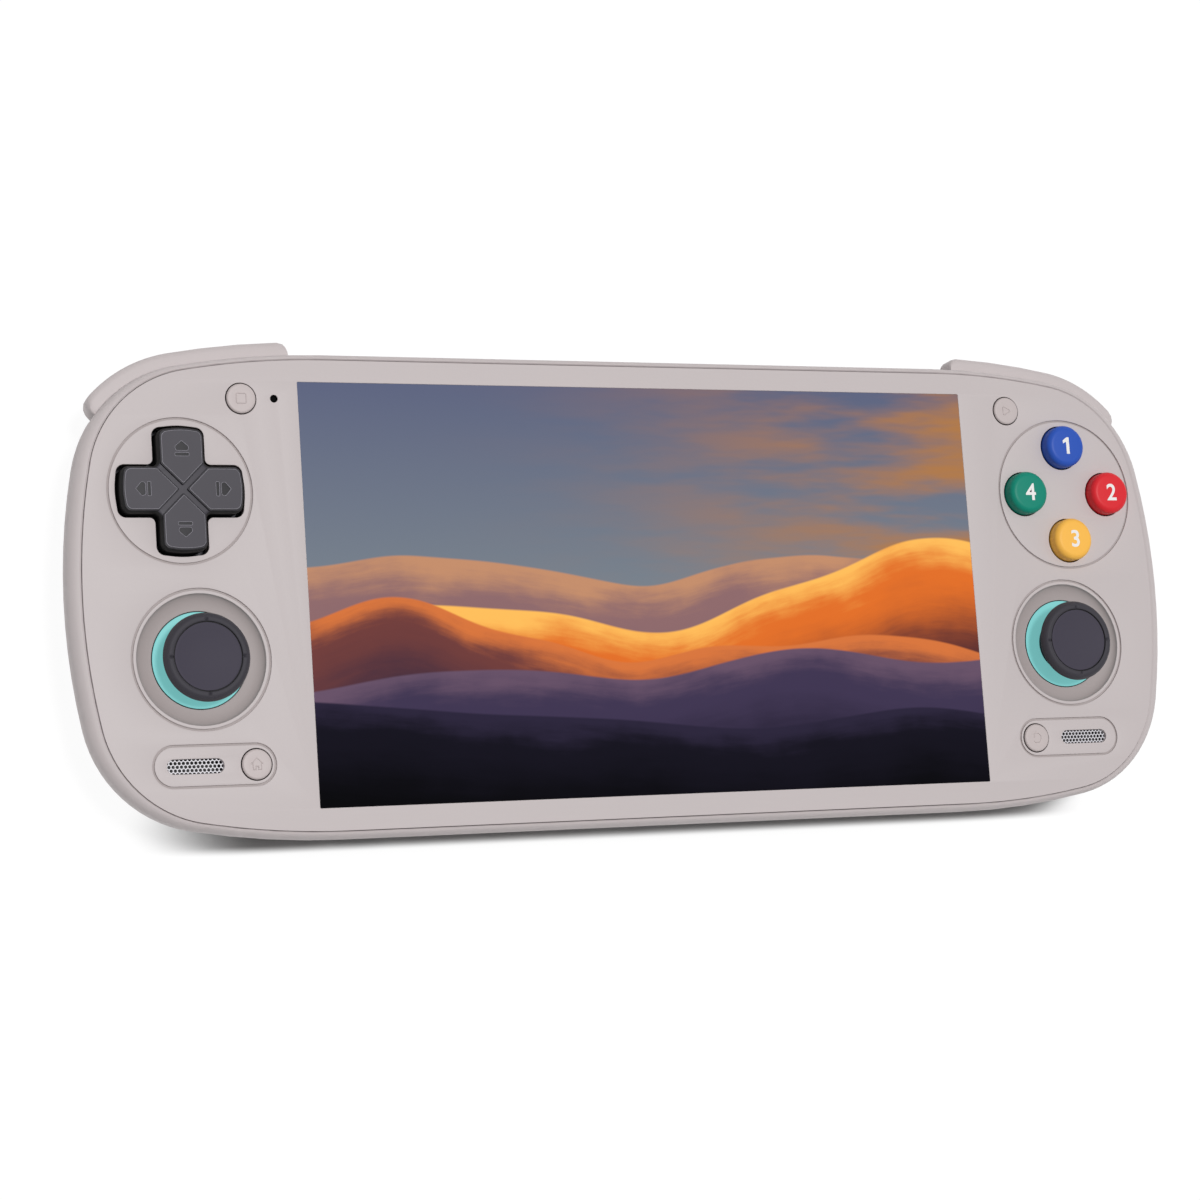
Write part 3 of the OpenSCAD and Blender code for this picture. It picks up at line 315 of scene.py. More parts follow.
@dataclass(frozen=True)
class Picture:
    """Lit display behind its cover glass, with evening dunes under a hazy sky."""

    name: str
    width: float
    height: float
    dunes: tuple[Dune, ...]
    sky: tuple[Colour, Colour, Colour] = ((94, 101, 128), (124, 134, 142), (176, 122, 74))
    glow: float = 0.92

    def build(self) -> bpy.types.Material:
        """Makes the material, dune by dune from the back."""
        sheet = NodeSheet(self.name)
        centred = sheet.add("ShaderNodeVectorMath", {0: sheet.place, 1: (1 / (self.height * MM),) * 3})
        centred.operation = "MULTIPLY"
        axes = sheet.add("ShaderNodeSeparateXYZ", {0: centred.outputs[0]})
        across, up = axes.outputs[0], axes.outputs[1]
        half = self.width / self.height / 2
        rightward = sheet.add("ShaderNodeMapRange", {"Value": across, "From Min": -half, "From Max": half},
                              interpolation_type="SMOOTHSTEP").outputs[0]
        upward = sheet.add("ShaderNodeMapRange", {"Value": up, "From Min": -0.1, "From Max": 0.5}).outputs[0]
        haze = self.streaks(sheet, across, up)
        top, low, warm = (linear(c) for c in self.sky)
        colour = sheet.blend(upward, low, top)
        colour = sheet.blend(sheet.sum("MULTIPLY", sheet.sum("POWER", rightward, 2.2), haze), colour, warm)
        for dune in self.dunes:
            colour = self.cover(sheet, dune, across, up, colour)
        dark = sheet.blend(0.9, colour, (0.0, 0.0, 0.0, 1.0))
        sheet.set(Base_Color=dark, Emission_Color=colour, Emission_Strength=self.glow)
        sheet.set(Roughness=sheet.spread(sheet.noise(30, 3), 0.1, 0.14), Specular_IOR_Level=0.03)
        return sheet.material

    @staticmethod
    def streaks(sheet: NodeSheet, across: Any, up: Any) -> bpy.types.NodeSocket:
        """Gives long soft streaks of haze from 0 to 1."""
        flat = sheet.add("ShaderNodeCombineXYZ", {0: sheet.sum("MULTIPLY", across, 1.2),
                                                  1: sheet.sum("MULTIPLY", up, 7.0)}).outputs[0]
        values = {"Vector": flat, "Scale": 1.1, "Detail": 4.0, "Roughness": 0.55}
        cloud = sheet.add("ShaderNodeTexNoise", values).outputs["Fac"]
        return sheet.add("ShaderNodeMapRange", {"Value": cloud, "From Min": 0.35, "From Max": 0.62},
                         interpolation_type="SMOOTHSTEP").outputs[0]

    @staticmethod
    def cover(sheet: NodeSheet, dune: Dune, across: Any, up: Any, behind: Any) -> bpy.types.NodeSocket:
        """Lays one dune over what is behind it.

        Args:
            sheet: Node sheet of the material.
            dune: The dune's sizes and colours.
            across: Socket of the place across the screen.
            up: Socket of the place up the screen.
            behind: Socket of the colour behind.

        Returns:
            Socket of the new colour.
        """
        values = {"W": sheet.sum("ADD", across, dune.seed), "Scale": 1 / dune.width, "Detail": 0.6,
                  "Roughness": 0.3}
        swell = sheet.add("ShaderNodeTexNoise", values, noise_dimensions="1D").outputs["Fac"]
        ridge = sheet.sum("MULTIPLY_ADD", sheet.sum("SUBTRACT", swell, 0.5), dune.swing * 2, dune.level)
        ridge = sheet.sum("MULTIPLY_ADD", across, dune.tilt, ridge)
        below = sheet.sum("SUBTRACT", ridge, up)
        along = sheet.add("ShaderNodeCombineXYZ", {
            0: sheet.sum("MULTIPLY", across, 5.0),
            1: sheet.sum("MULTIPLY_ADD", below, 34.0, dune.seed)}).outputs[0]
        values = {"Vector": along, "Scale": 1.0, "Detail": 5.0, "Roughness": 0.6}
        wind = sheet.add("ShaderNodeTexNoise", values)
        hollow = sheet.sum("SUBTRACT", sheet.noise(16, 5, dune.seed), 0.5)
        depth = sheet.sum("DIVIDE", below, dune.fade)
        depth = sheet.sum("MULTIPLY_ADD", hollow, 0.5, depth)
        depth = sheet.sum("ADD", depth, sheet.spread(wind.outputs["Fac"], -0.14, 0.14))
        ramp = sheet.add("ShaderNodeValToRGB", {0: depth})
        ramp.color_ramp.interpolation = "EASE"
        ramp.color_ramp.elements[0].color = linear(dune.crest)
        ramp.color_ramp.elements[1].color = linear(dune.foot)
        middle = ramp.color_ramp.elements.new(0.3)
        middle.color = linear(dune.flank)
        values = {"Value": below, "From Min": -0.002, "From Max": 0.003}
        mask = sheet.add("ShaderNodeMapRange", values).outputs[0]
        return sheet.blend(mask, behind, ramp.outputs[0])


DUNES = (
    Dune(0.06, 0.10, 0.55, 3.1, (196, 142, 108), (142, 106, 108), (96, 84, 104), 0.35),
    Dune(-0.02, 0.13, 0.75, 9.4, (255, 190, 92), (226, 112, 42), (92, 48, 48), 0.30, 0.06),
    Dune(-0.13, 0.12, 0.62, 17.7, (216, 118, 62), (112, 62, 60), (52, 42, 62), 0.26, -0.05),
    Dune(-0.20, 0.10, 0.80, 24.2, (104, 82, 104), (64, 54, 82), (32, 28, 46), 0.28, 0.04),
    Dune(-0.31, 0.07, 0.90, 31.9, (44, 38, 60), (20, 18, 30), (4, 4, 7), 0.24, -0.03),
)


class FinishShelf:
    """All finishes of the console, made once each."""

    def __init__(self, width: float, height: float) -> None:
        """Lists the finishes for a display of that size."""
        shell, key = (197, 188, 188), (195, 184, 183)
        self.listed: dict[str, Finish] = {f.name: f for f in (
            Moulded("shell_plastic", shell, 0.52, 0.22, 0.004, 0.02, 0.35),
            Moulded("key_plastic", key, 0.48, 0.2, 0.003, 0.02, 0.35),
            # darker copy of the shell plastic: painted shade for the walls of the holes and the sides of the
            # small keys
            Moulded("shell_shade", (96, 88, 86), 0.6, 0.22, 0.004, 0.04, 0.2),
            # darker copy of the shell plastic on the groove floors: painted shade
            Moulded("groove_shade", (174, 165, 164), 0.6, 0.22, 0.004, 0.03, 0.2),
            # darker copy of the shell plastic for the stick bowls: painted shade
            Moulded("bowl_plastic", (168, 158, 157), 0.55, 0.22, 0.004, 0.02, 0.3),
            Moulded("dark_rubber", (52, 50, 57), 0.62, 0.16, 0.006, 0.05, 0.25, 0.08),
            Moulded("dish_rubber", (58, 54, 67), 0.66, 0.16, 0.006, 0.06, 0.25, 0.1),
            Moulded("dark_plastic", (54, 51, 59), 0.48, 0.2, 0.003, 0.04, 0.28),
            # lighter copy of the cross key's plastic on the pads' lips: painted highlight
            Moulded("dark_edge", (140, 137, 146), 0.4, 0.2, 0.002, 0.04, 0.4),
            # darker copy of the cross key's plastic on the floors of the sunk marks: painted shade
            Moulded("dark_sunk", (30, 29, 33), 0.5, 0.2, 0.002, 0.04, 0.25),
            # near-black painted shade for walls and gaps: cross key sides, button flanges, the stick dish's
            # step and the outside of the lit rings
            Moulded("dark_side", (13, 13, 14), 0.5, 0.2, 0.003, 0.06, 0.25),
            Moulded("gauze_black", (9, 9, 10), 0.8, 0.15, 0.01, 0.1, 0.05),
            Moulded("black_plastic", (24, 24, 26), 0.5, 0.25, 0.005, 0.06, 0.4),
            Moulded("blue_plastic", (42, 84, 182), 0.46, 0.25, 0.002, 0.03, 0.22),
            Moulded("green_plastic", (2, 132, 111), 0.46, 0.25, 0.002, 0.03, 0.22),
            Moulded("red_plastic", (221, 40, 49), 0.46, 0.25, 0.002, 0.03, 0.22),
            Moulded("yellow_plastic", (252, 190, 82), 0.46, 0.25, 0.002, 0.03, 0.22),
            Moulded("white_ink", (240, 238, 236), 0.55, 0.1, 0.002, 0.02, 0.3),
            Moulded("silicone", (96, 97, 101), 0.6, 0.3, 0.004, 0.05, 0.3, 0.2),
            Diffuser("teal_diffuser", (123, 199, 198)),
            Moulded("grille_metal", (214, 212, 217), 0.38, 0.15, 0.002, 0.04, 0.5),
            Metal("steel", (176, 176, 180), 0.3),
            Metal("alloy", (186, 187, 192), 0.42, 0.3),
            Metal("copper", (196, 128, 92), 0.35),
            Metal("battery_foil", (72, 74, 82), 0.45, 1.2),
            BoardMask("circuit_board", (18, 62, 44)),
            Picture("screen_glass", width, height, DUNES),
        )}
        self.made: dict[str, bpy.types.Material] = {}

    def __getitem__(self, name: str) -> bpy.types.Material:
        """Gives a finish's material, and makes it on first use."""
        if name not in self.made:
            self.made[name] = self.listed[name].build()
        return self.made[name]


# meshes


@dataclass
class Piece:
    """A finished object, the body that it rides on, its slot and the solids that it stands for."""

    thing: bpy.types.Object
    body: str
    slot: str
    nodes: tuple[str, ...] = ()

    def fit(self) -> None:
        """Hands the piece to the frame."""
        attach(self.thing, self.body)
        if self.nodes:
            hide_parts(*self.nodes)
        LOG.info("%s rides on %s, %d faces", self.thing.name, self.body, len(self.thing.data.polygons))


def circle(x: float, y: float, r: float, steps: int = 96) -> Points:
    """Gives a round outline, counter-clockwise."""
    a = np.linspace(0, 2 * math.pi, steps, endpoint=False)
    return np.c_[x + r * np.cos(a), y + r * np.sin(a)]


def stadium(x: float, y: float, length: float, r: float, steps: int = 24) -> Points:
    """Gives an outline with two straight sides and round ends, counter-clockwise."""
    a = np.linspace(-math.pi / 2, math.pi / 2, steps + 1)
    right = np.c_[x + length / 2 - r + r * np.cos(a), y + r * np.sin(a)]
    left = np.c_[x - length / 2 + r - r * np.cos(a), y - r * np.sin(a)]
    return np.vstack([right, left])


def rounded(corners: Sequence[tuple[float, float, float]], steps: int = 8) -> Points:
    """Rounds the corners of a polygon.

    Args:
        corners: Place and radius of each corner, counter-clockwise.
        steps: Steps of each arc.

    Returns:
        Outline as points.
    """
    outline: list[Points] = []
    spots = np.array([c[:2] for c in corners], float)
    count = len(corners)
    for i, (_, _, r) in enumerate(corners):
        here, before, after = spots[i], spots[i - 1], spots[(i + 1) % count]
        u, v = before - here, after - here
        u, v = u / np.hypot(*u), v / np.hypot(*v)
        half = math.acos(max(-1.0, min(1.0, float(u @ v)))) / 2
        if r <= 0 or half > math.pi / 2 - 1e-6:
            outline.append(here[None])
            continue
        middle = here + (u + v) / np.hypot(*(u + v)) * r / math.sin(half)
        start, end = here + u * r / math.tan(half), here + v * r / math.tan(half)
        a0 = math.atan2(*(start - middle)[::-1])
        turn = (math.atan2(*(end - middle)[::-1]) - a0 + math.pi) % (2 * math.pi) - math.pi
        a = a0 + turn * np.linspace(0, 1, steps + 1)
        outline.append(middle + r * np.c_[np.cos(a), np.sin(a)])
    return np.vstack(outline)


def turned(outline: Points, angle: float, x: float = 0.0, y: float = 0.0) -> Points:
    """Turns an outline by degrees about the origin, then moves it."""
    c, s = math.cos(math.radians(angle)), math.sin(math.radians(angle))
    return outline @ np.array([[c, s], [-s, c]]) + (x, y)


def arc(r: float, a0: float, a1: float, steps: int, x: float = 0.0,
        y: float = 0.0) -> list[tuple[float, float]]:
    """Gives points of an arc between two angles in degrees."""
    a = np.radians(np.linspace(a0, a1, steps + 1))
    return [(x + r * math.cos(t), y + r * math.sin(t)) for t in a]


def clamp(value: float) -> float:
    """Keeps a value between 0 and 1."""
    return min(max(value, 0.0), 1.0)


def radii(spots: Points, x: float, y: float) -> np.ndarray:
    """Gives the distances of points from an upright axis."""
    return np.hypot(spots[:, 0] - x, spots[:, 1] - y)


def weld(mesh: bpy.types.Mesh, near: float, short: float, outward: bool) -> None:
    """Closes the seams of a mesh.

    Args:
        mesh: The mesh.
        near: Points nearer than this become one.
        short: Edges shorter than this are taken out.
        outward: Whether its faces are turned outwards.
    """
    work = bmesh.new()
    work.from_mesh(mesh)
    bmesh.ops.remove_doubles(work, verts=work.verts, dist=near)
    bmesh.ops.dissolve_degenerate(work, edges=work.edges, dist=short)
    if outward:
        bmesh.ops.recalc_face_normals(work, faces=work.faces)
    work.to_mesh(mesh)
    work.free()


def placed(name: str, mesh: bpy.types.Mesh, sharp: float = SHARP) -> bpy.types.Object:
    """Makes the object of a mesh, smooth but for its edges over an angle in degrees."""
    mesh.shade_smooth()
    mesh.set_sharp_from_angle(angle=math.radians(sharp))
    thing = bpy.data.objects.new(name, mesh)
    bpy.context.scene.collection.objects.link(thing)
    return thing


class Shape:
    """Vertices and faces of one piece, gathered in millimetres."""

    def __init__(self) -> None:
        """Starts an empty shape."""
        self.points: list[tuple[float, float, float]] = []
        self.faces: list[tuple[int, ...]] = []

    def lathe(self, profile: Sequence[tuple[float, float]], x: float, y: float, turns: int = 96,
              dent: Callable[[float, float], float] | None = None) -> None:
        """Turns a profile round an upright axis.

        Args:
            profile: Radius and height of each point, from the bottom to the top.
            x: Place of the axis.
            y: Place of the axis.
            turns: Steps round the axis.
            dent: Function of radius and angle that gives a drop, or None.
        """
        angles = np.linspace(0, 2 * math.pi, turns, endpoint=False)
        last: list[int] = []
        for r, z in profile:
            start = len(self.points)
            if r <= 1e-6:
                self.points.append((x, y, z))
                row = [start] * turns
            else:
                for a in angles:
                    drop = dent(r, a) if dent else 0.0
                    self.points.append((x + r * math.cos(a), y + r * math.sin(a), z - drop))
                row = list(range(start, start + turns))
            for i in range(turns if last else 0):
                k = (i + 1) % turns
                face = tuple(dict.fromkeys((last[i], last[k], row[k], row[i])))
                if len(face) > 2:
                    self.faces.append(face)
            last = row

    def plate(self, outer: Points, holes: Sequence[Points], z0: float, z1: float, lip: float,
              steps: int = 3) -> None:
        """Adds a flat plate with holes and rounded edges.

        Args:
            outer: Outline of the plate.
            holes: Outlines of its openings.
            z0: Underside.
            z1: Top side.
            lip: Radius of the rounded edges.
            steps: Steps of the rounding.
        """
        curve = bpy.data.curves.new("plate", "CURVE")
        curve.dimensions, curve.fill_mode = "2D", "BOTH"
        curve.extrude = (z1 - z0) / 2 - lip
        curve.bevel_depth, curve.bevel_resolution, curve.offset = lip, steps, -lip
        for outline in (outer, *holes):
            self.trace(curve, outline)
        self.take(curve, (z0 + z1) / 2)

    def ridge(self, path: Points, z: float, r: float, closed: bool = True) -> None:
        """Adds a round bead along a path.

        Args:
            path: Points of the path.
            z: Height of its middle.
            r: Radius of the bead.
            closed: Whether the path closes on itself.
        """
        curve = bpy.data.curves.new("ridge", "CURVE")
        curve.dimensions, curve.bevel_depth, curve.bevel_resolution = "3D", r, 2
        curve.use_fill_caps = True
        self.trace(curve, path, closed)
        self.take(curve, z)

    @staticmethod
    def trace(curve: bpy.types.Curve, path: Points, closed: bool = True) -> None:
        """Adds a path to a curve."""
        spline = curve.splines.new("POLY")
        spline.points.add(len(path) - 1)
        flat = np.c_[path, np.zeros(len(path)), np.ones(len(path))]
        spline.points.foreach_set("co", flat.ravel())
        spline.use_cyclic_u = closed

    def figure(self, text: str, x: float, y: float, z: float, height: float, bold: float,
               thick: float) -> None:
        """Adds a printed numeral.

        Args:
            text: The numeral.
            x: Its middle.
            y: Its middle.
            z: Its underside.
            height: Height of the numeral.
            bold: Widening of its strokes.
            thick: Thickness of the ink.
        """
        curve = bpy.data.curves.new("figure", "FONT")
        curve.body, curve.size = text, height / FIGURE_SHARE
        curve.offset, curve.extrude, curve.resolution_u = bold, thick / 2, 8
        start = len(self.points)
        self.take(curve, z + thick / 2)
        flat = np.array(self.points[start:])
        shift = np.array([x, y]) - (flat[:, :2].min(0) + flat[:, :2].max(0)) / 2
        flat[:, :2] += shift
        self.points[start:] = [tuple(p) for p in flat]

    def take(self, curve: bpy.types.Curve, z: float) -> None:
        """Adds the mesh of a curve, raised by z, and deletes the curve."""
        holder = bpy.data.objects.new("holder", curve)
        bpy.context.scene.collection.objects.link(holder)
        graph = bpy.context.evaluated_depsgraph_get()
        mesh = bpy.data.meshes.new_from_object(holder.evaluated_get(graph))
        start = len(self.points)
        self.points += [(v.co.x, v.co.y, v.co.z + z) for v in mesh.vertices]
        self.faces += [tuple(start + i for i in p.vertices) for p in mesh.polygons]
        bpy.data.meshes.remove(mesh)
        bpy.data.objects.remove(holder)
        bpy.data.curves.remove(curve)

    def to_object(self, name: str, material: bpy.types.Material, sharp: float = SHARP,
                  weighted: bool = True) -> bpy.types.Object:
        """Makes the piece's object, with closed seams and faces that point outwards.

        Args:
            name: Name of the piece.
            material: Its finish.
            sharp: Edges over this angle in degrees stay sharp.
            weighted: Whether large faces keep flat shading beside their rounded edges.

        Returns:
            The object, in place and in metres.
        """
        mesh = bpy.data.meshes.new(name)
        mesh.from_pydata(self.points, [], self.faces)
        weld(mesh, WELD, WELD / 4, True)
        mesh.transform(Matrix.Scale(MM, 4))
        mesh.materials.append(material)
        thing = placed(name, mesh, sharp)
        if weighted:
            normals = thing.modifiers.new("flat faces", "WEIGHTED_NORMAL")
            normals.keep_sharp = True
        return thing


def paint(thing: bpy.types.Object, material: bpy.types.Material,
          rule: Callable[[Points, Points], np.ndarray]) -> None:
    """Gives the faces that a rule picks a second finish.

    Args:
        thing: The piece.
        material: Finish of the picked faces.
        rule: Picks faces by their middles in millimetres and their normals.
    """
    mesh, count = thing.data, len(thing.data.polygons)
    middles, normals = np.empty(3 * count), np.empty(3 * count)
    mesh.polygons.foreach_get("center", middles)
    mesh.polygons.foreach_get("normal", normals)
    index = np.empty(count, np.int32)
    mesh.polygons.foreach_get("material_index", index)
    mesh.materials.append(material)
    index[rule(middles.reshape(-1, 3) / MM, normals.reshape(-1, 3))] = len(mesh.materials) - 1
    mesh.polygons.foreach_set("material_index", index)


class Recipe(Wiring):
    """A Geometry Nodes tree with named inputs."""

    def __init__(self, name: str, **inputs: str) -> None:
        """Starts the tree.

        Args:
            name: Name of the tree.
            inputs: Name and kind of each input after the geometry.
        """
        super().__init__(bpy.data.node_groups.new(name, "GeometryNodeTree"))
        face = self.tree.interface
        face.new_socket("Geometry", in_out="INPUT", socket_type="NodeSocketGeometry")
        self.keys = {key: face.new_socket(key, in_out="INPUT", socket_type=f"NodeSocket{kind}").identifier
                     for key, kind in inputs.items()}
        face.new_socket("Geometry", in_out="OUTPUT", socket_type="NodeSocketGeometry")
        self.source = self.add("NodeGroupInput").outputs
        self.result = self.add("NodeGroupOutput").inputs

    def put(self, kind: str, values: dict[Any, Any] | None = None, out: Any = 0,
            **settings: Any) -> bpy.types.NodeSocket:
        """Adds one node and gives one of its outputs.

        Args:
            kind: Blender's name of the node.
            values: Input sockets by name or number, with a value or another socket.
            out: Output to give back.
            settings: Properties of the node.

        Returns:
            The output socket.
        """
        return self.add(kind, values, **settings).outputs[out]

    def scatter(self, points: bpy.types.NodeSocket, key: str) -> bpy.types.NodeSocket:
        """Sets the object of an input on every point, as real geometry."""
        one = self.put("GeometryNodeObjectInfo", {"Object": self.source[key]}, "Geometry")
        laid = self.put("GeometryNodeInstanceOnPoints", {"Points": points, "Instance": one})
        return self.put("GeometryNodeRealizeInstances", {"Geometry": laid})

    def end(self, geometry: bpy.types.NodeSocket) -> None:
        """Joins the last node to the tree's output."""
        self.tree.links.new(geometry, self.result[0])

    def end_in(self, geometry: bpy.types.NodeSocket) -> None:
        """Gives the geometry the finish of the input and ends the tree."""
        values = {"Geometry": geometry, "Material": self.source["Finish"]}
        self.end(self.put("GeometryNodeSetMaterial", values))

    def attach(self, thing: bpy.types.Object, **values: Any) -> bpy.types.Modifier:
        """Puts the tree on an object, with its inputs set by their identifiers."""
        modifier = thing.modifiers.new(self.tree.name, "NODES")
        modifier.node_group = self.tree
        for key, value in values.items():
            modifier[self.keys[key]] = value
        return modifier

    def bake(self, name: str, mesh: bpy.types.Mesh, material: bpy.types.Material,
             **values: Any) -> bpy.types.Object:
        """Runs the tree on a mesh and gives a plain mesh object.

        Args:
            name: Name of the piece.
            mesh: Geometry that goes in.
            material: Finish of the piece, also handed to the tree.
            values: The tree's other inputs.

        Returns:
            The finished object.
        """
        holder = bpy.data.objects.new("holder", mesh)
        bpy.context.scene.collection.objects.link(holder)
        modifier = self.attach(holder, Finish=material, **values)
        graph = bpy.context.evaluated_depsgraph_get()
        made = bpy.data.meshes.new_from_object(holder.evaluated_get(graph), depsgraph=graph)
        holder.modifiers.remove(modifier)
        bpy.data.objects.remove(holder)
        made.name = name
        weld(made, WELD * MM, WELD * MM / 2, False)
        return placed(name, made)


def smoothing() -> Recipe:
    """Makes the tree that joins a solid's loose triangles and smooths its slow bends."""
    tree = Recipe("smooth solid", Angle="Float", Join="Float")
    give = tree.source
    values = {"Geometry": give["Geometry"], "Name": "custom_normal"}
    loose = tree.put("GeometryNodeRemoveAttribute", values)
    joined = tree.put("GeometryNodeMergeByDistance", {"Geometry": loose, "Distance": give["Join"]})
    values = {"Geometry": joined, "Shade Smooth": True}
    soft = tree.put("GeometryNodeSetShadeSmooth", values, domain="FACE")
    bend = tree.put("GeometryNodeInputMeshEdgeAngle", out="Unsigned Angle")
    crisp = tree.put("FunctionNodeCompare", {0: bend, 1: give["Angle"]}, operation="GREATER_THAN")
    values = {"Geometry": soft, "Selection": crisp, "Shade Smooth": False}
    tree.end(tree.put("GeometryNodeSetShadeSmooth", values, domain="EDGE"))
    return tree


# the console


@dataclass
class Outline:
    """Outline of the case: a side arc, a corner and a slow shoulder arc, all tangent."""

    half_w: float = 99.6
    half_h: float = 39.25
    side_r: float = 105.3
    corner_r: float = 20.85
    shoulder_r: float = 132.5
    flat_half: float = 56.5

    def ring(self, dx: float, dy: float, steps: int = 40) -> Points:
        """Gives the outline drawn in by dx at the sides and dy at top and bottom.

        Args:
            dx: Inset at the sides.
            dy: Inset at top and bottom.
            steps: Steps of each arc.

        Returns:
            Closed outline, counter-clockwise.
        """
        rs, rc, rt = self.side_r - dx, self.corner_r - (dx + dy) / 2, self.shoulder_r - dy
        side = np.array([self.half_w - dx - rs, 0.0])
        top = np.array([self.flat_half, self.half_h - dy - rt])
        a, b, span = rs - rc, rt - rc, np.hypot(*(top - side))
        u = (top - side) / span
        m = (span * span + a * a - b * b) / (2 * span)
        corner = side + m * u + math.sqrt(a * a - m * m) * np.array([-u[1], u[0]])
        a1 = math.degrees(math.atan2(*(corner - side)[::-1]))
        a2 = math.degrees(math.atan2(*(corner - top)[::-1]))
        quarter = np.array(arc(rs, 0, a1, steps // 4, *side)[:-1] + arc(rc, a1, a2, steps, *corner)[:-1]
                           + arc(rt, a2, 90, steps // 4, *top))
        flip = quarter[::-1] * (-1, 1)
        return np.vstack([quarter, flip, -quarter[1:], -flip[:-1]])


@dataclass
class Layout:
    """Places and levels that several sub-assemblies share."""

    outline: Outline = field(default_factory=Outline)
    front_z: float = 15.6
    panel_z: float = 14.05
    display_w: float = 121.76
    display_h: float = 68.49
    dpad: tuple[float, float] = (-81.15, 16.45)
    diamond: tuple[float, float] = (81.15, 16.45)
    diamond_r: float = 8.4
    stick: tuple[float, float] = (79.03, -10.3)
    menu: tuple[float, float] = (70.5, 31.48)
    low: tuple[float, float] = (71.03, -27.05)
    plate_x: float = 77.75
    grille_x: float = 80.85
    grille_len: float = 9.2
    grille_r: float = 1.175
    mic: tuple[float, float] = (-65.0, 31.55)

    def button_spot(self, k: int) -> Points:
        """Gives the middle of face button k, counter-clockwise from the right one."""
        return turned(np.array([[self.diamond_r, 0.0]]), 90 * k, *self.diamond)[0]


@dataclass
class CrossKey:
    """Cross key: a rounded plus with four raised pads, each with a sunk arrow and bar."""

    place: Layout
    half: float = 10.1
    arm: float = 3.75
    bulge: float = 0.5
    gap: float = 0.48
    top_z: float = 17.7
    step: float = 0.55
    inset: float = 0.3
    band: float = 0.85
    skin: float = 0.14
    soft: float = 0.7
    hub_r: float = 2.0
    flange_r: float = 10.5
    flange_z: float = 10.6
    flange_t: float = 0.8

    def outline(self, grow: float = 0.0) -> Points:
        """Gives the plus with bowed ends, grown by a clearance, about its own middle."""
        h, a = self.half + grow, self.arm + grow
        arm = [(a, -a, 0.95), (h - self.bulge, -a, 1.4), (h, 0.0, 13.0), (h - self.bulge, a, 1.4)]
        corners = []
        for k in range(4):
            for x, y, r in arm:
                (p,) = turned(np.array([[x, y]]), 90 * k)
                corners.append((p[0], p[1], r))
        return rounded(corners, 10)

    def pad(self, inset: float) -> Points:
        """Gives the outline of the pad on the +X arm, drawn in from the plus."""
        tip, b, e = (self.band / 2 + inset - self.inset) * math.sqrt(2), self.arm - inset, self.half - inset
        return rounded([(tip, 0, 0.2), (tip + b, -b, 0.4), (e - self.bulge, -b, 1.0), (e, 0, 12.5),
                        (e - self.bulge, b, 1.0), (tip + b, b, 0.4)])

    @staticmethod
    def marks() -> list[Points]:
        """Gives the sunk arrow and bar of the +X arm."""
        arrow = rounded([(7.65, 0, 0.15), (6.72, 1.08, 0.32), (6.16, 0.92, 0.22), (6.16, -0.92, 0.22),
                         (6.72, -1.08, 0.32)], 4)
        bar = rounded([(5.28, -1.1, 0.12), (5.74, -1.1, 0.12), (5.74, 1.1, 0.12), (5.28, 1.1, 0.12)], 3)
        return [arrow, bar]

    def build(self, shelf: FinishShelf) -> list[Piece]:
        """Makes the cross key."""
        x, y = self.place.dpad
        r, z, high = self.flange_r, self.flange_z, self.flange_z + self.flange_t
        low, face = self.top_z - self.step, self.top_z - self.skin
        shape = Shape()
        shape.plate(self.outline() + (x, y), [], z + 0.2, low, self.soft, 5)
        shape.lathe([(self.hub_r, z), (r, z), (r, high), (self.hub_r, high), (self.hub_r, z)], x, y)
        for k in range(4):
            pad, top = (turned(self.pad(self.inset + more), 90 * k, x, y) for more in (0.0, 0.22))
            marks = [turned(m, 90 * k, x, y) for m in self.marks()]
            shape.plate(pad, [], low - 0.4, face, 0.12)
            shape.plate(top, marks, face - 0.1, self.top_z, 0.08, 1)
        key = shape.to_object("cross_key", shelf["dark_plastic"], 20, False)
        # the base's sides and the pads' walls are painted near-black: painted shade
        paint(key, shelf["dark_side"], lambda spots, tilts: (
            (tilts[:, 2] < 0.8) & (spots[:, 2] < low - 0.01) | (tilts[:, 2] < 0.5) & (spots[:, 2] < face)))
        # the floors of the sunk arrows and bars are painted darker: painted shade
        paint(key, shelf["dark_sunk"], lambda spots, tilts: (
            (tilts[:, 2] > 0.95) & (abs(spots[:, 2] - face) < 0.01)))
        # the pads' rounded lips are painted lighter: painted highlight
        paint(key, shelf["dark_edge"], lambda spots, tilts: (
            (abs(tilts[:, 2] - 0.5) < 0.45) & (spots[:, 2] > face)))
        return [Piece(key, "dpad", "dark_plastic", ("dpad",))]


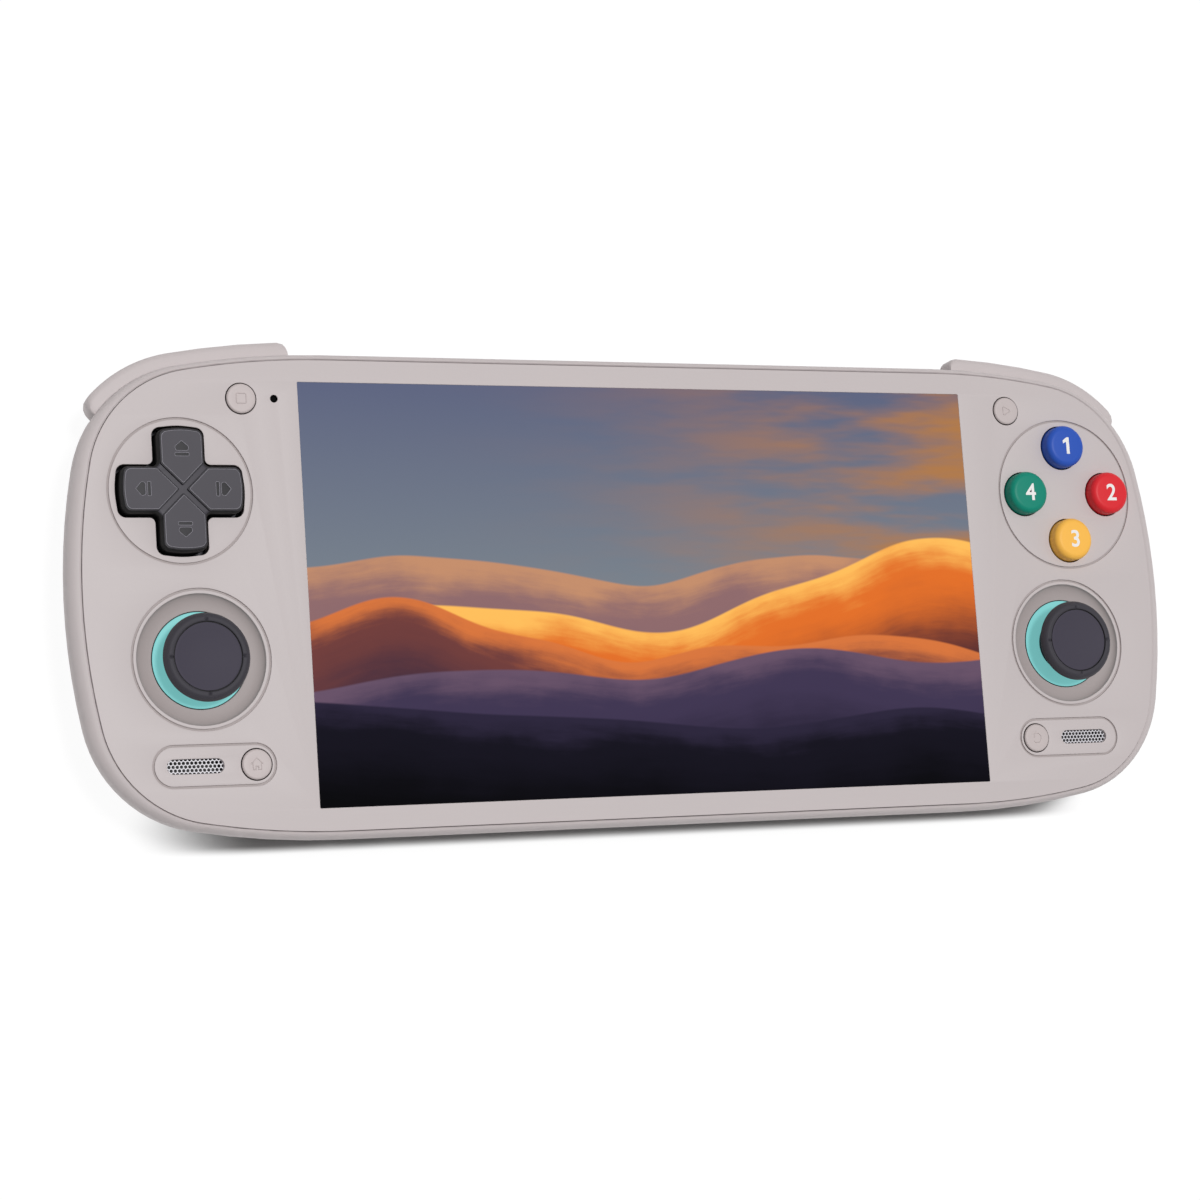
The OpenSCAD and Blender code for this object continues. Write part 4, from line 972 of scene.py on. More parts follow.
@dataclass
class FrontPanel:
    """Front panel: islands parted by fine grooves, with the openings and the two stick bowls."""

    place: Layout
    cross: CrossKey
    rim_x: float = 2.15
    rim_y: float = 1.2
    lip: float = 0.1
    groove: float = 0.17
    groove_depth: float = 0.32
    cross_ring: float = 11.65
    diamond_ring: float = 13.3
    stick_ring: float = 11.15
    bowl_r: float = 10.45
    bowl_floor_r: float = 7.8
    bowl_depth: float = 1.25
    key_hole: float = 2.57
    button_hole: float = 3.95
    plate_len: float = 19.7
    plate_r: float = 3.25
    mic_r: float = 0.62
    cup_wall: float = 0.06
    cup_depth: float = 1.4
    cup_floor: float = 0.6
    display_gap: float = 0.12
    floor_t: float = 0.3

    def island(self, shape: Shape, outer: Points, holes: Sequence[Points]) -> None:
        """Adds one island of the panel's full thickness."""
        shape.plate(outer, holes, self.place.panel_z, self.place.front_z, self.lip)

    def grooves(self) -> list[Points]:
        """Gives the middle lines of the grooves."""
        p = self.place
        lines = [circle(*p.dpad, self.cross_ring), circle(*p.diamond, self.diamond_ring)]
        for side in Side:
            s = side.value
            lines.append(circle(s * p.stick[0], p.stick[1], self.stick_ring))
            lines.append(stadium(s * p.plate_x, p.low[1], self.plate_len, self.plate_r))
        return lines

    def build(self, shelf: FinishShelf) -> list[Piece]:
        """Makes the panel and the floors of its grooves."""
        p, g = self.place, self.groove
        shape, bowls = Shape(), Shape()
        holes = [circle(*p.dpad, self.cross_ring + g, FINE), circle(*p.diamond, self.diamond_ring + g, FINE),
                 circle(*p.mic, self.mic_r, 32),
                 rounded([(sx * (p.display_w / 2 + self.display_gap),
                           sy * (p.display_h / 2 + self.display_gap), 0.15)
                          for sx, sy in ((-1, -1), (1, -1), (1, 1), (-1, 1))], 4)]
        for side in Side:
            s = side.value
            x, y = s * p.stick[0], p.stick[1]
            holes += [circle(x, y, self.stick_ring + g, FINE),
                      circle(s * p.menu[0], p.menu[1], self.key_hole),
                      stadium(s * p.plate_x, p.low[1], self.plate_len + 2 * g, self.plate_r + g)]
            self.island(shape, circle(x, y, self.stick_ring - g, FINE), [circle(x, y, self.bowl_r, FINE)])
            self.bowl(bowls, x, y)
            self.island(shape, stadium(s * p.plate_x, p.low[1], self.plate_len - 2 * g, self.plate_r - g),
                        [circle(s * p.low[0], p.low[1], self.key_hole),
                         stadium(s * p.grille_x, p.low[1], p.grille_len, p.grille_r)])
        self.island(shape, p.outline.ring(self.rim_x, self.rim_y), holes)
        self.island(shape, circle(*p.dpad, self.cross_ring - g, FINE),
                    [self.cross.outline(self.cross.gap) + p.dpad])
        self.island(shape, circle(*p.diamond, self.diamond_ring - g, FINE),
                    [turned(circle(p.diamond_r, 0, self.button_hole), 90 * k, *p.diamond)
                     for k in range(4)])
        panel = shape.to_object("front_panel_face", shelf["shell_plastic"], 20, False)
        # the walls of the holes round keys and buttons are painted darker: painted shade in the gaps
        paint(panel, shelf["shell_shade"], self.in_holes)
        # the bowls get a darker copy of the shell plastic: painted shade
        dishes = bowls.to_object("stick_bowls", shelf["bowl_plastic"], weighted=False)
        return [Piece(panel, "case", "shell_plastic", ("front_panel",)),
                Piece(dishes, "case", "shell_plastic", ("front_panel",)),
                self.gauze(shelf), self.floors(shelf)]

    def in_holes(self, spots: Points, tilts: Points) -> np.ndarray:
        """Picks the upright faces round the keys and buttons, which get painted shade so their gaps look
        dark.

        Args:
            spots: Middles of the faces.
            tilts: Normals of the faces.

        Returns:
            Whether each face is picked.
        """
        p = self.place
        rounds = [(*p.dpad, self.cross_ring - 0.4)]
        rounds += [(*p.button_spot(k), self.button_hole + 0.1) for k in range(4)]
        rounds += [(side.value * x, y, self.key_hole + 0.1) for side in Side for x, y in (p.menu, p.low)]
        near = np.zeros(len(spots), bool)
        for x, y, r in rounds:
            near |= radii(spots, x, y) < r
        return near & (abs(tilts[:, 2]) < 0.3) & (spots[:, 2] < p.front_z - self.lip)

    def gauze(self, shelf: FinishShelf) -> Piece:
        """Makes the black gauze cup in the microphone's hole."""
        r, z, inner = self.mic_r, self.place.front_z, self.mic_r - self.cup_wall
        low, floor = z - self.cup_depth, z - self.cup_floor
        cup = Shape()
        cup.lathe([(0.0, low), (r, low), (r, z - 0.1), (r - 0.03, z - 0.06), (inner, z - 0.1),
                   (inner, floor), (0.0, floor)], *self.place.mic, 32)
        made = cup.to_object("microphone_gauze", shelf["gauze_black"], weighted=False)
        return Piece(made, "case", "black_plastic")

    def bowl(self, shape: Shape, x: float, y: float) -> None:
        """Adds the dished wall of one stick's bowl."""
        r, d, z = self.bowl_floor_r, self.bowl_depth, self.place.front_z
        w, low = self.bowl_r - r, z - d - 0.25
        bends = np.radians(np.linspace(0, 84, 17))
        side = [(r + 0.06 + (w - 0.06) * math.sin(t), z - d * math.cos(t)) for t in bends]
        rim = self.bowl_r + 0.1
        shape.lathe([(r, low), (r, z - d - 0.06), *side, (rim, z - 0.14), (rim, low), (r, low)], x, y, FINE)

    def floors(self, shelf: FinishShelf) -> Piece:
        """Sweeps the floors of the grooves along their middle lines, in a darker finish that is painted
        shade.
        """
        tree = Recipe("groove floor", Width="Float", Depth="Float", Finish="Material")
        path = tree.put("GeometryNodeMeshToCurve", {"Mesh": tree.source["Geometry"]})
        path = tree.put("GeometryNodeSetCurveNormal", {"Curve": path}, mode="Z_UP")
        section = tree.put("GeometryNodeCurvePrimitiveQuadrilateral",
                           {"Width": tree.source["Width"], "Height": tree.source["Depth"]})
        swept = tree.put("GeometryNodeCurveToMesh", {"Curve": path, "Profile Curve": section})
        tree.end_in(tree.put("GeometryNodeRealizeInstances", {"Geometry": swept}))
        points: list[tuple[float, float, float]] = []
        edges: list[tuple[int, int]] = []
        z = self.place.front_z - self.groove_depth - self.floor_t / 2
        for line in self.grooves():
            start, count = len(points), len(line)
            points += [(float(a) * MM, float(b) * MM, z * MM) for a, b in line]
            edges += [(start + i, start + (i + 1) % count) for i in range(count)]
        mesh = bpy.data.meshes.new("groove lines")
        mesh.from_pydata(points, edges, [])
        # the groove floors get the darker finish: painted shade in the grooves
        floors = tree.bake("groove_floors", mesh, shelf["groove_shade"], Width=(2 * self.groove + 0.2) * MM,
                           Depth=self.floor_t * MM)
        return Piece(floors, "case", "shell_plastic", ("front_panel",))


@dataclass
class Display:
    """Display under its flush cover glass."""

    place: Layout
    overlap: float = 0.09
    lip: float = 0.04

    def build(self, shelf: FinishShelf) -> list[Piece]:
        """Makes the lit glass."""
        p = self.place
        w, h = p.display_w / 2 + self.overlap, p.display_h / 2 + self.overlap
        shape = Shape()
        shape.plate(rounded([(-w, -h, 0.12), (w, -h, 0.12), (w, h, 0.12), (-w, h, 0.12)], 3), [],
                    p.panel_z, p.front_z - 0.02, self.lip, 2)
        glass = shape.to_object("display_cover", shelf["screen_glass"])
        return [Piece(glass, "case", "screen_glass", ("display_glass",))]


@dataclass
class FaceButtons:
    """Four round face buttons with soft edges and printed numerals."""

    place: Layout
    radius: float = 3.75
    top_z: float = 18.1
    soft: float = 1.05
    crown: float = 0.07
    flange_z: float = 11.95
    flange_r: float = 4.65
    figure_h: float = 3.0
    names: tuple[str, ...] = ("right", "top", "left", "bottom")
    slots: tuple[str, ...] = ("red_plastic", "blue_plastic", "green_plastic", "yellow_plastic")
    figures: tuple[str, ...] = ("2", "1", "4", "3")

    def one(self) -> Points:
        """Gives the outline of a plain numeral one with a flag."""
        h = self.figure_h / 2
        return rounded([(0.42, -h, 0.05), (0.42, h, 0.05), (-0.05, h, 0.1), (-0.85, h - 0.55, 0.05),
                        (-0.85, h - 1.15, 0.05), (-0.2, h - 0.8, 0.05), (-0.2, -h, 0.05)], 3)

    def build(self, shelf: FinishShelf) -> list[Piece]:
        """Makes the buttons, then their numerals."""
        made: list[Piece] = []
        flat = self.radius - self.soft
        edge_z = self.top_z - self.crown
        profile = [(0.0, self.flange_z), (self.flange_r, self.flange_z), (self.flange_r, self.flange_z + 0.8),
                   (self.radius, self.flange_z + 0.85)]
        profile += arc(self.soft, 0, 84, 10, flat, edge_z - self.soft)
        profile += [(r, self.top_z - self.crown * (r / flat) ** 2 - 0.004)
                    for r in np.linspace(flat - 0.1, 0, 8)]
        for k, name in enumerate(self.names):
            x, y = self.place.button_spot(k)
            shape = Shape()
            shape.lathe(profile, x, y)
            body = f"button_{name}"
            button = shape.to_object(f"{name}_button", shelf[self.slots[k]], weighted=False)
            # the button's flange and lower side inside its hole are painted near-black: painted shade in the
            # gap
            paint(button, shelf["dark_side"], lambda spots, tilts: spots[:, 2] < self.flange_z + 1.0)
            made.append(Piece(button, body, self.slots[k], (body,)))
            ink = Shape()
            if self.figures[k] == "1":
                ink.plate(self.one() + (x, y), [], self.top_z - 0.06, self.top_z + 0.005, 0.015, 1)
            else:
                ink.figure(self.figures[k], x, y, self.top_z - 0.06, self.figure_h, 0.07, 0.065)
            numeral = ink.to_object(f"{name}_button_numeral", shelf["white_ink"])
            made.append(Piece(numeral, body, self.slots[k]))
        return made


@dataclass
class SmallKeys:
    """Four small round keys with moulded signs."""

    place: Layout
    radius: float = 2.42
    top_z: float = 15.95
    soft: float = 0.35
    flange_z: float = 11.95
    flange_r: float = 3.02
    stem_r: float = 1.1
    menu_stem_z: float = 11.1
    low_stem_z: float = 7.5
    bead: float = 0.1

    def sign(self, shape: Shape, mark: Mark, x: float, y: float) -> None:
        """Adds the beads of one sign."""
        z = self.top_z - 0.03
        if mark is Mark.SQUARE:
            shape.ridge(rounded([(-0.8, -0.8, 0.2), (0.8, -0.8, 0.2), (0.8, 0.8, 0.2), (-0.8, 0.8, 0.2)], 4)
                        + (x, y), z, self.bead)
        elif mark is Mark.TRIANGLE:
            corners = [(-0.65, -0.85, 0.2), (0.95, 0.0, 0.2), (-0.65, 0.85, 0.2)]
            shape.ridge(rounded(corners, 4) + (x, y), z, self.bead)
        elif mark is Mark.HOUSE:
            shape.ridge(np.array([(-1.0, 0.05), (0.0, 1.0), (1.0, 0.05)]) + (x, y), z, self.bead, False)
            shape.ridge(np.array([(-0.68, 0.25), (-0.68, -0.85), (-0.22, -0.85), (-0.22, -0.3), (0.22, -0.3),
                                  (0.22, -0.85), (0.68, -0.85), (0.68, 0.25)]) + (x, y), z, self.bead, False)
        else:
            hook = np.array(arc(0.85, -140, 130, 18))
            shape.ridge(hook + (x, y), z, self.bead, False)
            end = hook[-1]
            shape.ridge(np.array([end + (0.5, 0.42), end, end + (0.06, -0.62)]) + (x, y), z, self.bead, False)

    def build(self, shelf: FinishShelf) -> list[Piece]:
        """Makes the keys with their signs."""
        p = self.place
        keys = (("select", -p.menu[0], p.menu[1], self.menu_stem_z, Mark.SQUARE),
                ("start", p.menu[0], p.menu[1], self.menu_stem_z, Mark.TRIANGLE),
                ("home", -p.low[0], p.low[1], self.low_stem_z, Mark.HOUSE),
                ("back", p.low[0], p.low[1], self.low_stem_z, Mark.RETURN))
        made: list[Piece] = []
        flat = self.radius - self.soft
        for name, x, y, stem_z, mark in keys:
            shape = Shape()
            profile = [(0.0, stem_z), (self.stem_r, stem_z), (self.stem_r, self.flange_z),
                       (self.flange_r, self.flange_z), (self.flange_r, self.flange_z + 0.8),
                       (self.radius, self.flange_z + 0.85)]
            profile += arc(self.soft, 0, 90, 6, flat, self.top_z - self.soft)
            profile += [(flat * 0.6, self.top_z - 0.03), (0.0, self.top_z - 0.05)]
            shape.lathe(profile, x, y, 72)
            self.sign(shape, mark, x, y)
            body = f"{name}_button"
            key = shape.to_object(f"{name}_key", shelf["key_plastic"])
            # the key's side below its rounded top is painted darker: painted shade in the gap round it
            paint(key, shelf["shell_shade"], lambda spots, tilts: spots[:, 2] < self.top_z - self.soft - 0.05)
            made.append(Piece(key, body, "key_plastic", (body,)))
        return made


@dataclass
class ThumbSticks:
    """Dished thumb caps with a rolled rim and four notches, over their lit rings."""

    place: Layout
    cap_r: float = 7.0
    rim_z: float = 19.599
    dish_r: float = 5.5
    pivot_z: float = 9.6
    dome_r: float = 6.1
    dome_t: float = 0.7
    neck_r: float = 2.7
    notch: float = 0.2
    notch_depth: float = 0.28
    turns: int = 240
    ring_r: float = 7.66
    ring_z: float = 14.45
    ring_bevel: float = 0.45
    ring_low: float = 13.4
    ring_gap: float = 0.35
    ring_flange: float = 1.2
    ring_soft: float = 0.12

    def notched(self, r: float, angle: float) -> float:
        """Gives the drop of the four notches at a radius and angle."""
        off = abs((angle + math.pi / 4) % (math.pi / 2) - math.pi / 4) * r
        along = clamp((r - self.dish_r - 0.02) / 0.06) * clamp((self.dish_r + 0.85 - r) / 0.2)
        return self.notch_depth * along * clamp((self.notch - off) / (0.4 * self.notch))

    def cap_profile(self) -> list[tuple[float, float]]:
        """Gives the cap's section, from the dome's inner edge over the rim to the dish's middle."""
        r, z, d = self.cap_r, self.rim_z, self.dish_r
        reach = 60.0
        inside = [(x, self.pivot_z + y) for x, y in arc(self.dome_r - self.dome_t, 70, 90 - reach, 8)]
        outside = [(x, self.pivot_z + y) for x, y in
                   arc(self.dome_r, 90 - reach, 90 - math.degrees(math.asin(self.neck_r / self.dome_r)), 10)]
        side = [(self.neck_r, z - 2.4), (self.neck_r + 0.15, z - 2.15), (self.neck_r + 0.4, z - 2.05),
                (r - 0.95, z - 1.97), (r - 0.6, z - 1.88), (r - 0.28, z - 1.72), (r - 0.08, z - 1.5),
                (r, z - 1.24), (r - 0.03, z - 1.0), (r - 0.12, z - 0.74), (r - 0.27, z - 0.46),
                (r - 0.46, z - 0.23), (r - 0.66, z - 0.08), (r - 0.86, z - 0.01), (r - 1.02, z),
                (d + 0.3, z - 0.01), (d + 0.16, z - 0.03), (d + 0.08, z - 0.06), (d + 0.03, z - 0.12),
                (d, z - 0.24), (d - 0.04, z - 0.3), (d - 0.09, z - 0.3), (d - 0.13, z - 0.21),
                (d - 0.2, z - 0.18), (d - 0.5, z - 0.21), (d - 1.2, z - 0.31), (d - 2.4, z - 0.45),
                (d - 3.8, z - 0.54), (0.0, z - 0.57)]
        return [(1.6, inside[0][1]), *inside, *outside, *side]

    def cap(self, shelf: FinishShelf, side: Side, x: float, y: float) -> Piece:
        """Makes one thumb cap about its axis."""
        shape = Shape()
        shape.lathe(self.cap_profile(), x, y, self.turns, self.notched)
        body, high = f"{side.label}_stick_cap", self.rim_z - 0.8
        thumb = shape.to_object(f"{side.label}_thumb_cap", shelf["dark_rubber"], 50, False)
        paint(thumb, shelf["dish_rubber"], lambda spots, tilts: (
            (radii(spots, x, y) < self.dish_r - 0.12) & (spots[:, 2] > high)))
        # a thin ring at the dish's step is painted near-black: painted shade in the step
        paint(thumb, shelf["dark_side"], lambda spots, tilts: (
            (abs(radii(spots, x, y) - self.dish_r + 0.04) < 0.08) & (spots[:, 2] > high)))
        return Piece(thumb, body, "dark_rubber", (body,))

    def light(self, shelf: FinishShelf, side: Side, x: float, y: float) -> Piece:
        """Makes one lit ring about its axis."""
        shape = Shape()
        top, low, bevel, soft = self.ring_z, self.ring_low, self.ring_bevel, self.ring_soft
        r, wide, hole = self.ring_r, self.ring_r + self.ring_flange, self.dome_r + self.ring_gap
        r_top, r_low = (math.sqrt(hole ** 2 - (z - self.pivot_z) ** 2) for z in (top - bevel, low))
        shape.lathe([(r_low, low), (wide, low), (wide, low + 0.6), (r, low + 0.6),
                     *arc(soft, 0, 90, 4, r - soft, top - soft),
                     (r_top + bevel, top), (r_top, top - bevel), (r_low, low)], x, y, FINE)
        ring = shape.to_object(f"{side.label}_light_ring", shelf["teal_diffuser"])
        # the ring's outer wall and flange are painted near-black: painted shade in the gap round the ring
        paint(ring, shelf["dark_side"], lambda spots, tilts: (
            (radii(spots, x, y) > r - 0.01) & (spots[:, 2] < top - 0.1)))
        return Piece(ring, "case", "teal_diffuser", (f"{side.label}_stick_light",))

    def build(self, shelf: FinishShelf) -> list[Piece]:
        """Makes the caps and the lit rings."""
        made: list[Piece] = []
        for side in Side:
            x, y = side.value * self.place.stick[0], self.place.stick[1]
            made += [self.cap(shelf, side, x, y), self.light(shelf, side, x, y)]
        return made


@dataclass
class Grilles:
    """Perforated speaker strips: round holes on a triangular pitch, cut off at the slot's edge."""

    place: Layout
    pitch: float = 0.667
    hole_r: float = 0.268
    columns: int = 17
    rows: int = 5
    top_z: float = 15.1
    thick: float = 0.35
    lip: float = 0.02

    def cell(self) -> bpy.types.Object:
        """Makes one six-sided cell with its hole."""
        corner = self.pitch / math.sqrt(3)
        hexagon = []
        for k in range(12):
            a = math.radians(30 * k)
            hexagon.append((a, corner if k % 2 else self.pitch / 2))
        points: list[tuple[float, float, float]] = []
        r = self.hole_r
        for reach, z in ((None, 0.0), (r + self.lip, 0.0), (r, -self.lip), (r, -self.thick)):
            for a, far in hexagon:
                out = (far if reach is None else reach) * MM
                points.append((out * math.cos(a), out * math.sin(a), z * MM))
        faces = [(12 * j + i, 12 * j + (i + 1) % 12, 12 * j + 12 + (i + 1) % 12, 12 * j + 12 + i)
                 for j in range(3) for i in range(12)]
        mesh = bpy.data.meshes.new("cell")
        mesh.from_pydata(points, [], faces)
        return bpy.data.objects.new("cell", mesh)

    def tree(self) -> Recipe:
        """Makes the tree that lays the cells out in rows and cuts them off at the slot's edge."""
        tree = Recipe("perforation", Cell="Object", Pitch="Float", Columns="Int", Rows="Int",
                      Straight="Float", Radius="Float", Place="Vector", Finish="Material")
        give = tree.source
        rise = tree.sum("MULTIPLY", give["Pitch"], math.sqrt(3) / 2)
        wide = tree.sum("MULTIPLY", give["Pitch"], tree.sum("SUBTRACT", give["Columns"], 1.0))
        tall = tree.sum("MULTIPLY", rise, tree.sum("SUBTRACT", give["Rows"], 1.0))
        grid = tree.put("GeometryNodeMeshGrid", {"Size X": wide, "Size Y": tall,
                                                 "Vertices X": give["Columns"], "Vertices Y": give["Rows"]})
        row = tree.sum("MODULO", tree.put("GeometryNodeInputIndex"), give["Rows"])
        odd = tree.sum("MODULO", row, 2.0)
        shove = tree.sum("MULTIPLY", tree.sum("SUBTRACT", odd, 0.5), tree.sum("MULTIPLY", give["Pitch"], 0.5))
        shift = tree.put("ShaderNodeCombineXYZ", {0: shove})
        grid = tree.put("GeometryNodeSetPosition", {"Geometry": grid, "Offset": shift})
        laid = tree.scatter(grid, "Cell")
        spot = tree.add("ShaderNodeSeparateXYZ", {0: tree.put("GeometryNodeInputPosition")}).outputs
        near = tree.put("ShaderNodeClamp", {0: spot[0], 1: tree.sum("MULTIPLY", give["Straight"], -1.0),
                                            2: give["Straight"]})
        off = tree.sum("SUBTRACT", spot[0], near)
        far = tree.sum("SQRT", tree.sum("ADD", tree.sum("MULTIPLY", off, off),
                                        tree.sum("MULTIPLY", spot[1], spot[1])))
        keep = tree.sum("MINIMUM", tree.sum("DIVIDE", give["Radius"], tree.sum("MAXIMUM", far, 1e-6)), 1.0)
        clipped = tree.put("ShaderNodeCombineXYZ", {0: tree.sum("MULTIPLY_ADD", off, keep, near),
                                                    1: tree.sum("MULTIPLY", spot[1], keep), 2: spot[2]})
        moved = tree.put("ShaderNodeVectorMath", {0: clipped, 1: give["Place"]}, operation="ADD")
        tree.end_in(tree.put("GeometryNodeSetPosition", {"Geometry": laid, "Position": moved}))
        return tree

    def build(self, shelf: FinishShelf) -> list[Piece]:
        """Makes both strips."""
        p, tree, cell = self.place, self.tree(), self.cell()
        made: list[Piece] = []
        for side in Side:
            place = (side.value * p.grille_x * MM, p.low[1] * MM, self.top_z * MM)
            strip = tree.bake(
                f"{side.label}_grille_mesh", bpy.data.meshes.new("empty"), shelf["grille_metal"], Cell=cell,
                Pitch=self.pitch * MM, Columns=self.columns, Rows=self.rows,
                Straight=(p.grille_len / 2 - p.grille_r) * MM, Radius=(p.grille_r - 0.01) * MM, Place=place)
            made.append(Piece(strip, "case", "grille_metal", (f"{side.label}_grille",)))
        bpy.data.objects.remove(cell)
        return made


@dataclass
class CaseScrews:
    """Six deep-set case screws with cross recesses, on the back."""

    spots: tuple[tuple[float, float], ...] = ((65.3, 24.0), (65.3, -33.0), (88.578, 2.2), (-65.3, 24.0),
                                              (-65.3, -33.0), (-88.578, 2.2))
    head_r: float = 1.9
    head_z: float = 1.9
    head_h: float = 1.3
    shank_r: float = 1.0
    tip_z: float = 11.0
    cross_half: float = 1.1
    cross_w: float = 0.27
    cross_d: float = 0.6

    def pattern(self) -> bpy.types.Object:
        """Makes one screw, head down, about its own axis."""
        w, h = self.cross_w, self.cross_half
        shape = Shape()
        plus = rounded([(p[0], p[1], 0.06) for k in range(4)
                        for p in turned(np.array([(w, -w), (h, -w), (h, w)]), 90 * k)], 2)
        shape.plate(circle(0, 0, self.head_r, 48), [plus], 0.0, self.cross_d, 0.08, 2)
        shape.plate(circle(0, 0, self.head_r, 48), [], self.cross_d, self.head_h, 0.06, 2)
        neck, tip = self.head_h - 0.1, self.tip_z - self.head_z
        shape.lathe([(0.0, neck), (self.shank_r, neck), (self.shank_r, tip - 0.4), (0.0, tip)], 0, 0, 24)
        return shape.to_object("screw", bpy.data.materials.new("blank"), weighted=False)

    def build(self, shelf: FinishShelf) -> list[Piece]:
        """Sets the screw on each of its spots."""
        tree = Recipe("screws", Screw="Object", Finish="Material")
        tree.end_in(tree.scatter(tree.source["Geometry"], "Screw"))
        spots = bpy.data.meshes.new("screw spots")
        spots.from_pydata([(x * MM, y * MM, self.head_z * MM) for x, y in self.spots], [], [])
        screw = self.pattern()
        made = tree.bake("case_screw_set", spots, shelf["steel"], Screw=screw)
        bpy.data.objects.remove(screw)
        return [Piece(made, "case", "steel", ("case_screws",))]


@dataclass
class Solids:
    """Solids of the frame that stay in sight or inside, with smoothed bends and their finishes."""

    nodes: dict[str, bpy.types.Object]
    angle: float = 33.0
    join: float = 0.002

    def dress(self, shelf: FinishShelf) -> None:
        """Gives every solid its finish and a smoothing tree."""
        tree = smoothing()
        slots = {name: solid.material_slots[0].name.split(".")[0] for name, solid in self.nodes.items()}
        for name, solid in self.nodes.items():
            solid.data.materials.clear()
            solid.data.materials.append(shelf[slots[name]])
            tree.attach(solid, Angle=math.radians(self.angle), Join=self.join * MM)
            LOG.info("%s wears %s", name, slots[name])


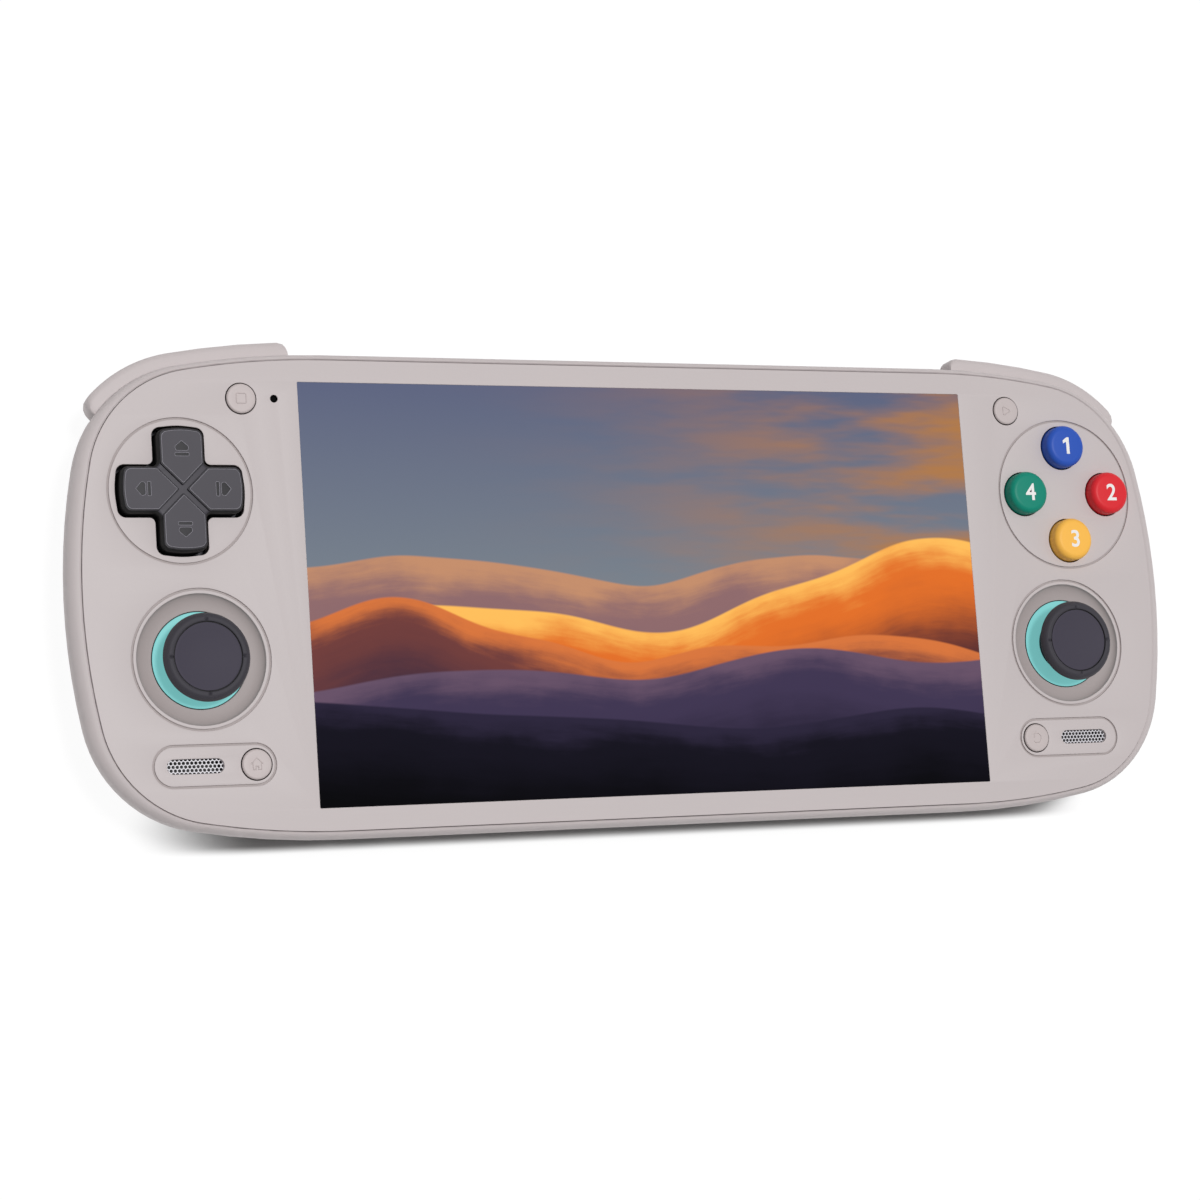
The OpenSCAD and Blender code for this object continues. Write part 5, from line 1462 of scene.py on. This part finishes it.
@dataclass
class Studio:
    """Camera, light and floor."""

    camera: tuple[float, float, float] = (-205.078, -65.4819, 463.684)
    right: tuple[float, float, float] = (0.9186899, -0.0674167, 0.3891837)
    up: tuple[float, float, float] = (0.0108998, 0.9892778, 0.145639)
    back: tuple[float, float, float] = (-0.3948293, -0.129555, 0.9095743)
    lens: float = 89.027
    sensor: float = 36.0
    sky: float = 0.26
    sun: float = 2.19
    sun_angle: float = 12.0
    sun_from: tuple[float, float, float] = (0.04, 0.12, 1.0)
    floor_half: float = 3.0
    floor_z: float = -1e-4
    albedo: float = 0.92
    faint: float = 0.08
    white: float = 1.02
    full: float = 1.0
    contact_reach: float = 9.0
    contact_power: float = 2.0
    contact_samples: int = 16
    contact_y: tuple[float, float, float, float] = (-40.6, -38.8, -36.0, -30.0)
    contact_x: tuple[float, float, float, float] = (-90.0, -66.0, 76.0, 92.0)

    def build(self) -> None:
        """Sets up the camera, the lights and the floor."""
        scene = bpy.context.scene
        scene.view_settings.view_transform = "Standard"
        lens = bpy.data.cameras.new("camera")
        lens.lens, lens.sensor_width, lens.sensor_fit = self.lens, self.sensor, "HORIZONTAL"
        lens.clip_start, lens.clip_end = 0.01, 20.0
        eye = bpy.data.objects.new("camera", lens)
        axes = Matrix((self.right, self.up, self.back)).transposed().to_4x4()
        axes.translation = [v * MM for v in self.camera]
        eye.matrix_world = axes
        scene.collection.objects.link(eye)
        scene.camera = eye
        self.light()
        self.floor()

    def light(self) -> None:
        """Adds the soft lamp and the even sky."""
        lamp = bpy.data.lights.new("lamp", "SUN")
        lamp.energy, lamp.angle = self.sun, math.radians(self.sun_angle)
        holder = bpy.data.objects.new("lamp", lamp)
        z = np.array(self.sun_from) / np.linalg.norm(self.sun_from)
        x = np.cross((0.0, 1.0, 0.0), z)
        x /= np.linalg.norm(x)
        holder.matrix_world = Matrix((x, np.cross(z, x), z)).transposed().to_4x4()
        bpy.context.scene.collection.objects.link(holder)
        world = bpy.data.worlds.new("sky")
        world.use_nodes = True
        bpy.context.scene.world = world
        wires = Wiring(world.node_tree)
        white = (1.0, 1.0, 1.0, 1.0)
        even = wires.add("ShaderNodeBackground", {"Color": white, "Strength": self.sky})
        plain = wires.add("ShaderNodeBackground", {"Color": white})
        values = {0: self.seen(wires), 1: even.outputs[0], 2: plain.outputs[0]}
        mix = wires.add("ShaderNodeMixShader", values)
        wires.add("ShaderNodeOutputWorld", {0: mix.outputs[0]})

    @staticmethod
    def seen(wires: Wiring) -> bpy.types.NodeSocket:
        """Gives 1 for rays that come from the camera, a gloss or a glass."""
        ray = wires.add("ShaderNodeLightPath").outputs
        share = wires.sum("MAXIMUM", ray["Is Camera Ray"], ray["Is Glossy Ray"])
        return wires.sum("MAXIMUM", share, ray["Is Transmission Ray"])

    def contact(self, wires: Wiring) -> bpy.types.NodeSocket:
        """Gives 1 along the case's lower edge, where the floor shows its full shadow and a painted shadow
        from ambient occlusion, and 0 away from it.
        """
        spot = wires.add("ShaderNodeTexCoord").outputs["Object"]
        axes = wires.add("ShaderNodeSeparateXYZ", {0: spot}).outputs
        share: Any = 1.0
        for axis, (a, b, c, d) in ((1, self.contact_y), (0, self.contact_x)):
            for start, end in ((a, b), (d, c)):
                values = {"Value": axes[axis], "From Min": start * MM, "From Max": end * MM}
                step = wires.add("ShaderNodeMapRange", values, interpolation_type="SMOOTHSTEP")
                share = wires.sum("MULTIPLY", step.outputs[0], share)
        return share

    def floor_paint(self) -> bpy.types.Material:
        """Makes a pale finish that keeps the shadow, darkens its colour by ambient occlusion along the case's
        lower edge as a painted shadow, and looks white where none falls.
        """
        cover = bpy.data.materials.new("floor_paint")
        cover.use_nodes = True
        wires = Wiring(cover.node_tree)
        tilt = self.sun_from[2] / float(np.linalg.norm(self.sun_from))
        level = self.sun * tilt / math.pi + self.sky
        seen, edge = self.seen(wires), self.contact(wires)
        shown = wires.sum("MULTIPLY_ADD", edge, self.full - self.faint, self.faint)
        pale = wires.sum("SUBTRACT", shown, self.albedo)
        pale = wires.sum("MULTIPLY_ADD", seen, pale, self.albedo)
        lift = wires.sum("MULTIPLY", wires.sum("MULTIPLY_ADD", shown, -level, self.white), seen)
        # along the lower edge the floor's colour is darkened by ambient occlusion: a painted shadow on top of
        # the lamp's shadow
        near = wires.add("ShaderNodeAmbientOcclusion", {"Distance": self.contact_reach * MM},
                         samples=self.contact_samples)
        closed = wires.sum("POWER", near.outputs["AO"], self.contact_power)
        closed = wires.sum("SUBTRACT", 1.0, closed)
        dim = wires.sum("MULTIPLY", wires.sum("MULTIPLY", closed, edge), seen)
        dim = wires.sum("SUBTRACT", 1.0, dim)
        pale, lift = (wires.sum("MULTIPLY", value, dim) for value in (pale, lift))
        grey = wires.add("ShaderNodeCombineColor", {0: pale, 1: pale, 2: pale})
        matt = wires.add("ShaderNodeBsdfDiffuse", {"Color": grey.outputs[0]})
        glow = wires.add("ShaderNodeEmission", {"Strength": lift})
        both = wires.add("ShaderNodeAddShader", {0: matt.outputs[0], 1: glow.outputs[0]})
        wires.add("ShaderNodeOutputMaterial", {"Surface": both.outputs[0]})
        return cover

    def floor(self) -> None:
        """Lays the floor just under the back."""
        mesh = bpy.data.meshes.new("floor")
        h, z = self.floor_half, self.floor_z
        mesh.from_pydata([(-h, -h, z), (h, -h, z), (h, h, z), (-h, h, z)], [], [(0, 1, 2, 3)])
        mesh.materials.append(self.floor_paint())
        floor = bpy.data.objects.new("floor", mesh)
        bpy.context.scene.collection.objects.link(floor)


def main() -> None:
    """Loads the frame and dresses it piece by piece."""
    logging.basicConfig(level=logging.INFO, format="%(name)s: %(message)s")
    for thing in list(bpy.data.objects):
        bpy.data.objects.remove(thing)
    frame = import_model()
    place = Layout()
    shelf = FinishShelf(place.display_w, place.display_h)
    Studio().build()
    Solids(frame["nodes"]).dress(shelf)
    cross = CrossKey(place)
    for group in (FrontPanel(place, cross), Display(place), cross, FaceButtons(place), SmallKeys(place),
                  ThumbSticks(place), Grilles(place), CaseScrews()):
        for piece in group.build(shelf):
            piece.fit()


if __name__ == "__main__":
    main()
